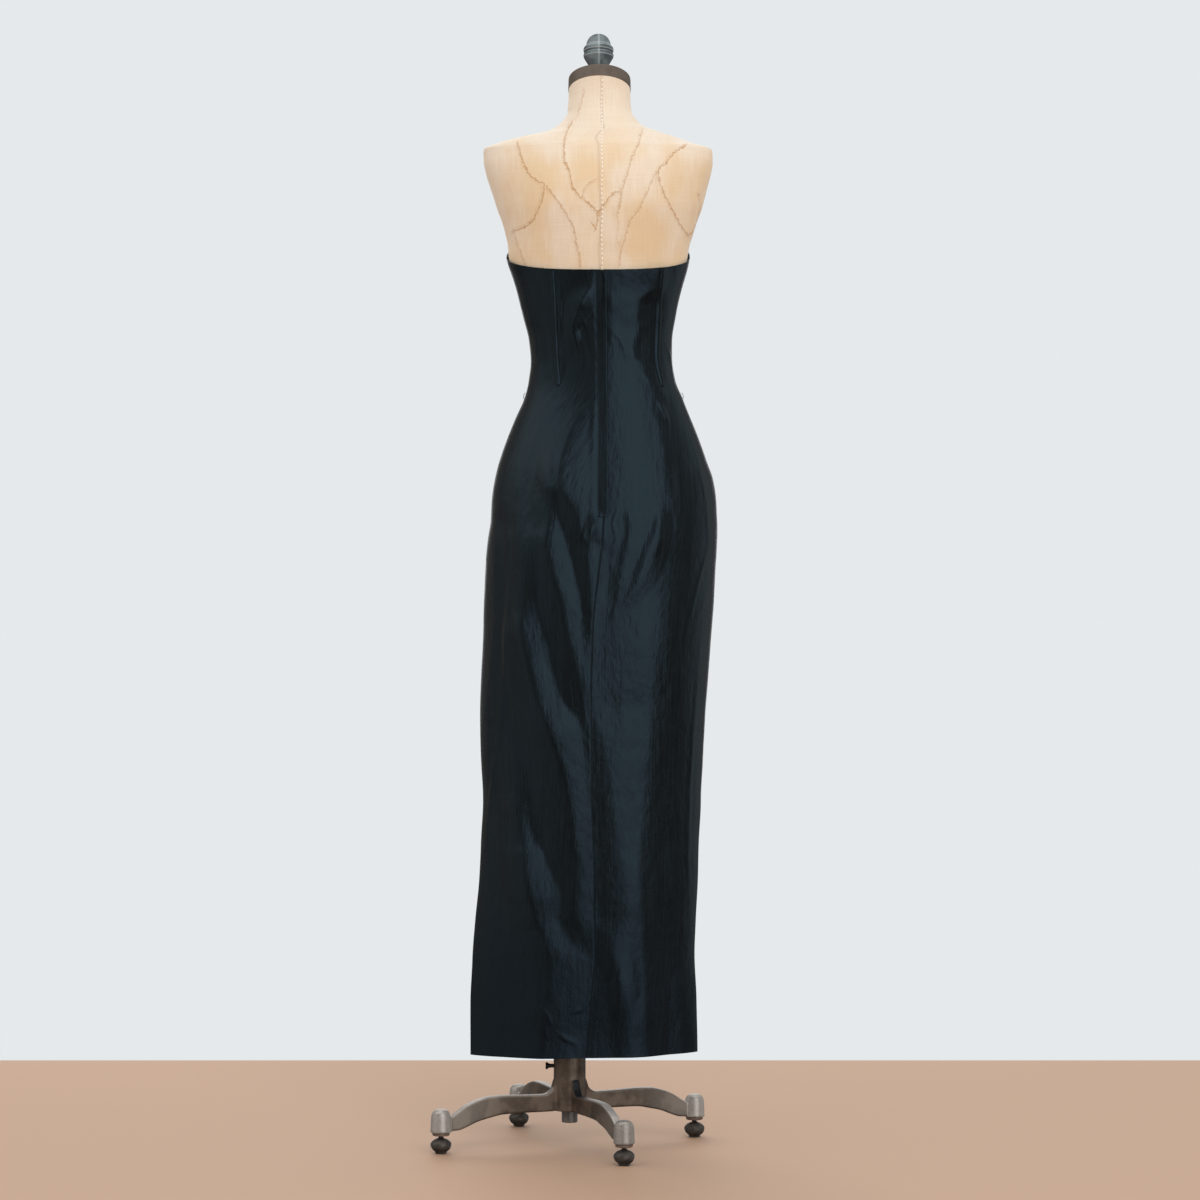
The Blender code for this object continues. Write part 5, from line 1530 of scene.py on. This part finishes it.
leg_bottom = smooth_through([row.reach for row in LEG], [row.bottom for row in LEG])
at_post = Matrix.Translation((POST_X, 0, 0))
screw_way = Matrix.Translation((POST_X, 0, SCREW_HEIGHT)) @ Matrix.Rotation(-math.pi / 2, 4, "Y")
feet, at_foot = {}, {}
for i, letter in enumerate("abcd"):
    turn = math.pi + LEG_ANGLE + i * math.pi / 2
    feet[letter] = Vector((math.cos(turn), math.sin(turn), 0.0))
    at_foot[letter] = Matrix.Translation(feet[letter] * FOOT_CIRCLE + Vector((POST_X, 0, 0)))


def leg_mesh(direction):
    """A bar with rounded edges, swept outwards along its side view."""
    side = Vector((-direction.y, direction.x, 0.0))
    rings = []
    for reach in np.linspace(LEG[0].reach, LEG[-1].reach, 64):
        top, bottom = float(leg_top(reach)), float(leg_bottom(reach))
        ring = []
        for t in np.arange(28) / 28 * math.tau:
            across = math.copysign(abs(math.cos(t)) ** 0.20, math.cos(t)) * LEG_WIDTH / 2
            up = math.copysign(abs(math.sin(t)) ** 0.20, math.sin(t)) * (top - bottom) / 2
            middle = Vector((POST_X, 0, (top + bottom) / 2 + up))
            ring.append(tuple(direction * reach + side * across + middle))
        rings.append(ring)
    return skin_mesh(rings)


def hub_mesh():
    """The hub with its bore and the screw's hole."""
    profile = ((BORE_RADIUS, HUB_BOTTOM), (HUB_RADIUS - 0.001, HUB_BOTTOM), (HUB_RADIUS, HUB_BOTTOM + 0.001),
               (HUB_RADIUS, HUB_TOP - 0.003), (HUB_RADIUS - 0.003, HUB_TOP), (BORE_RADIUS, HUB_TOP))
    hub = add_object("hub", turned_mesh(profile, at_post, 96, True))
    drill_profile = ((0.0, 0.006), (0.0038, 0.006), (0.0038, 0.04), (0.0, 0.04))
    drill = add_object("drill", turned_mesh(drill_profile, screw_way, 32))
    cut = hub.modifiers.new("drill", "BOOLEAN")
    cut.operation, cut.object = "DIFFERENCE", drill
    made = baked(hub)
    bpy.data.objects.remove(drill)
    return made


# %% Melting them into one casting
VOXEL, SMOOTHING = 0.00135, 1


def melted_mesh(meshes):
    """One skin round overlapping closed meshes."""
    blank = add_object("blank", join_meshes(meshes))
    melt = blank.modifiers.new("melt", "REMESH")
    melt.mode, melt.voxel_size, melt.use_smooth_shade = "VOXEL", VOXEL, True
    soft = blank.modifiers.new("soft", "SMOOTH")
    soft.factor, soft.iterations = 0.5, SMOOTHING
    return baked(blank)


parts = [hub_mesh()]
for letter, direction in feet.items():
    parts.append(leg_mesh(direction))
    parts.append(turned_mesh(soften(SOCKET), at_foot[letter], 56))
casting = melted_mesh(parts)

# %% Wear, painted highlight and painted shade on the casting
count = len(casting.vertices)
spots = np.zeros(count * 3)
casting.vertices.foreach_get("co", spots)
spots = spots.reshape(-1, 3)
flat = spots[:, :2] - np.array([POST_X, 0.0])
wear_and_highlight, painted_shade = np.zeros(count), np.zeros(count)
PAINTED_SHADE_LEG, PINNED_FEET, PIN_HEIGHT, PIN_HOLES = "b", "ab", 0.0627, (-0.0086, -0.0045)
for letter, direction in feet.items():
    along = flat @ np.array([direction.x, direction.y])
    across = np.abs(flat @ np.array([-direction.y, direction.x]))
    on_leg = (along > 0.03) & (along < 0.212) & (across < 0.010)
    # Painted highlight: a light band along each leg's top edge.
    top_edge_highlight = np.exp(-((leg_top(along) - spots[:, 2]) / 0.0016) ** 2)
    wear_and_highlight = np.maximum(wear_and_highlight, np.where(on_leg, 0.85 * top_edge_highlight + 0.25 * ramp(along, 0.10, 0.20), 0.0))
    from_foot = np.hypot(along - FOOT_CIRCLE, across)
    rubbed = 0.66 if letter == PAINTED_SHADE_LEG else 0.95
    wear_and_highlight = np.maximum(wear_and_highlight, rubbed * (1.0 - ramp(from_foot, 0.0166, 0.0185)))
    # Painted shade: the top face of leg b near the hub is darkened.
    if letter == PAINTED_SHADE_LEG:
        top_face = np.abs(leg_top(np.maximum(along, LEG[1].reach)) - spots[:, 2]) < 0.0035
        top_face = top_face * (along > HUB_RADIUS) * (across < 0.0066)
        painted_shade = np.maximum(painted_shade, 0.97 * top_face * (1.0 - ramp(along, 0.045, 0.100)))
    # Painted shade: each pin hole is a small dark spot on the surface, not a cut.
    if letter in PINNED_FEET:
        pin = at_foot[letter] @ Vector((0, 0, PIN_HEIGHT))
        for aside in PIN_HOLES:
            gap = np.hypot(spots[:, 0] - pin.x - aside, spots[:, 2] - pin.z)
            painted_shade = np.maximum(painted_shade, np.where(spots[:, 1] < pin.y, np.exp(-((gap / 0.0011) ** 2)), 0.0))
# The wear attribute holds wear on the sockets and legs, and a painted highlight along the legs' top edges.
store(casting, "wear", wear_and_highlight)
store(casting, "painted_shade", painted_shade)
add_piece("stand_casting", casting, METAL["cast_iron"], "stand",
          ["hub"] + ["leg_" + k for k in feet] + ["foot_socket_" + k for k in feet])

# %% Collars, castors, post and screw
COLLAR = ((0.0042, 0.0285), (0.0126, 0.0285), (0.0137, 0.0296), (0.0137, 0.0333), (0.0042, 0.0333))
CASTOR = (
    (0.0, 0.0), (0.0083, 0.0), (0.0083, 0.0), (0.0090, 0.0012), (0.0094, 0.0034),
    (0.0118, 0.0048), (0.0146, 0.0076), (0.0163, 0.0112), (0.0166, 0.0142), (0.0156, 0.0180),
    (0.0122, 0.0218), (0.0080, 0.0236), (0.0050, 0.0243), (0.0040, 0.0252), (0.0037, 0.0262),
    (0.0037, 0.0330), (0.0, 0.0330),
)
for letter in feet:
    add_piece("collar_ring_" + letter, turned_mesh(COLLAR, at_foot[letter], 48, True),
              METAL["brown_collar_metal"], "stand", ["foot_collar_" + letter])
    add_piece("castor_ball_" + letter, turned_mesh(soften(CASTOR), at_foot[letter], 48, lumps=0.05),
              METAL["dark_castor_metal"], "roller_" + letter, ["castor_" + letter])

PLATE_WALL, PLATE_GAP = 0.0150, 0.0006
UNDER_PLATE = FORM_BOTTOM - PLATE_WALL - PLATE_GAP
FLANGE_FOOT = UNDER_PLATE - 0.0080
POST = ((0.0, 0.0370), (POST_RADIUS - 0.001, 0.0370), (POST_RADIUS, 0.0380),
        (POST_RADIUS, FLANGE_FOOT - 0.0003), (0.0, FLANGE_FOOT - 0.0003))
FLANGE = ((0.0, FLANGE_FOOT), (0.0430, FLANGE_FOOT), (0.0450, UNDER_PLATE - 0.0060), (0.0450, UNDER_PLATE),
          (0.0, UNDER_PLATE))
SCREW = ((0.0, 0.0136), (0.0031, 0.0136), (0.0031, 0.0310), (0.0035, 0.0322), (0.0040, 0.0340),
         (0.0050, 0.0350), (0.0057, 0.0356), (0.0057, 0.0380), (0.0050, 0.0385), (0.0, 0.0386))
add_piece("post_tube", turned_mesh(POST, at_post), METAL["old_steel"], "mast", ["post"])
add_piece("flange_disc", turned_mesh(FLANGE, at_post), METAL["cast_iron"], "mast",
          ["post_flange"])
add_piece("thumbscrew_turned", turned_mesh(soften(SCREW, 1), screw_way, 40), METAL["black_screw_paint"],
          "screw", ["thumbscrew"])

# %% [markdown]
# ## The wooden plate
# A board closes the form from below.  Its outline is the form's own section, a little smaller, with the
# edge rounded over.  The growth rings are one wave texture stretched along the board.

# %% Plate
wood, tree, shader, growth = two_toned("plate_wood", 0.55, "ShaderNodeTexWave",
                                       {"Scale": 1.6, "Distortion": 5.0, "Detail": 3.0},
                                       (0.38, 0.22, 0.11), (0.24, 0.125, 0.055), (4.0, 40.0, 60.0))
bump(tree, shader, growth, 0.3, 0.0004)
PLATE_SIDES = 160
PLATE_EDGE = ((0.950, 0.0153), (0.966, 0.0149), (0.970, 0.0138), (0.970, 0.0015), (0.966, 0.0006),
              (0.960, 0.0003))
plate_middle = np.array([float(middle_at(FORM_BOTTOM)), 0.0])
plate_turns = np.arange(PLATE_SIDES) / PLATE_SIDES * math.tau
plate_outline = section_xy(plate_turns, FORM_BOTTOM, COVER_TUCK) - plate_middle
plate_rings = []
for share, drop in PLATE_EDGE:
    level = np.full((PLATE_SIDES, 1), FORM_BOTTOM - drop)
    plate_rings.append(np.concatenate([plate_outline * share + plate_middle, level], axis=1))
add_piece("base_board", skin_mesh(plate_rings), wood, "figure", ["form_base_plate"])

# %% [markdown]
# ## The zip
# Under the lap runs a nylon coil zip: a woven tape with two rows of coil, and a slider that stays closed at
# the top.  The coil is the row tree again, with wider beads.

# %% Zip
coil, *_ = two_toned("black_coil", 0.42, "ShaderNodeTexNoise", {"Scale": 700.0},
                     (0.007, 0.007, 0.009), (0.014, 0.014, 0.017))
TAPE, COIL_LINES, COIL_PITCH = np.linspace(-0.0020, 0.0020, 5), (-0.0007, 0.0007), 0.0013
chain_heights = np.linspace(CHAIN_END, ZIP_TOP, 110)
tape = strip_mesh(chain_heights, centre_back_at, TAPE, 0.0001, 0.0007)
tape.materials.append(coil)
teeth_lines = [[off_panel(centre_back_at(z) + x, z, 0.0010) for z in chain_heights] for x in COIL_LINES]
teeth = row_of_beads(teeth_lines, COIL_PITCH, (0.0010, 0.0013, 0.0008), coil)
add_piece("zip_coil", join_meshes([tape, teeth]), None, "figure", ["zip_chain"])

# %% Slider and pull tab
SLIDER_LENGTH, TAB_LENGTH = 0.0095, 0.0180
SLIDER_FOOT = ZIP_TOP - 0.0030 - SLIDER_LENGTH
TAB_FOOT = SLIDER_FOOT - TAB_LENGTH
BOW = np.array([-1.0, -0.94, -0.75, -0.4, 0.0, 0.4, 0.75, 0.94, 1.0])
slider_half = smooth_through((0.0, 0.0043, 0.0086, SLIDER_LENGTH), (0.0024, 0.0034, 0.0031, 0.0024))
slider_thick = smooth_through((0.0, 0.0014, 0.0043, SLIDER_LENGTH), (0.0011, 0.0018, 0.0022, 0.0017))
tab_half = smooth_through((0.0, 0.0025, 0.0120, 0.0185), (0.0010, 0.0022, 0.0019, 0.0013))


def bowed_plate(foot, top, rows, half, thick, rim):
    """A small bowed plate on the zip.  rim is the share of its thickness that its edges keep."""
    bowed = rim + (1.0 - rim) * np.sqrt(1.0 - 0.97 * BOW**2)
    return strip_mesh(np.linspace(foot, top, rows), centre_back_at, lambda z: BOW * half(z - foot),
                      CLOTH_WALL + 0.0003, lambda z: value_at(thick, z - foot) * bowed)


slider = bowed_plate(SLIDER_FOOT, SLIDER_FOOT + SLIDER_LENGTH, 16, slider_half, slider_thick, 0.45)
tab = bowed_plate(TAB_FOOT, SLIDER_FOOT + 0.0003, 22, tab_half, 0.0009, 0.6)
add_piece("zip_slider_and_tab", join_meshes([slider, tab]), METAL["zip_metal"], "figure",
          ["zip_slider"])

# %% [markdown]
# ## What each sheet was cut from
# These are the cloth's flat sizes: the bounding rectangle of each cut piece.  Its area was printed as it was
# cut.

# %% Sheets
for name, (width, tall, area) in CUTS.items():
    print(f"{name}: {width:.3f} x {tall:.3f} m")
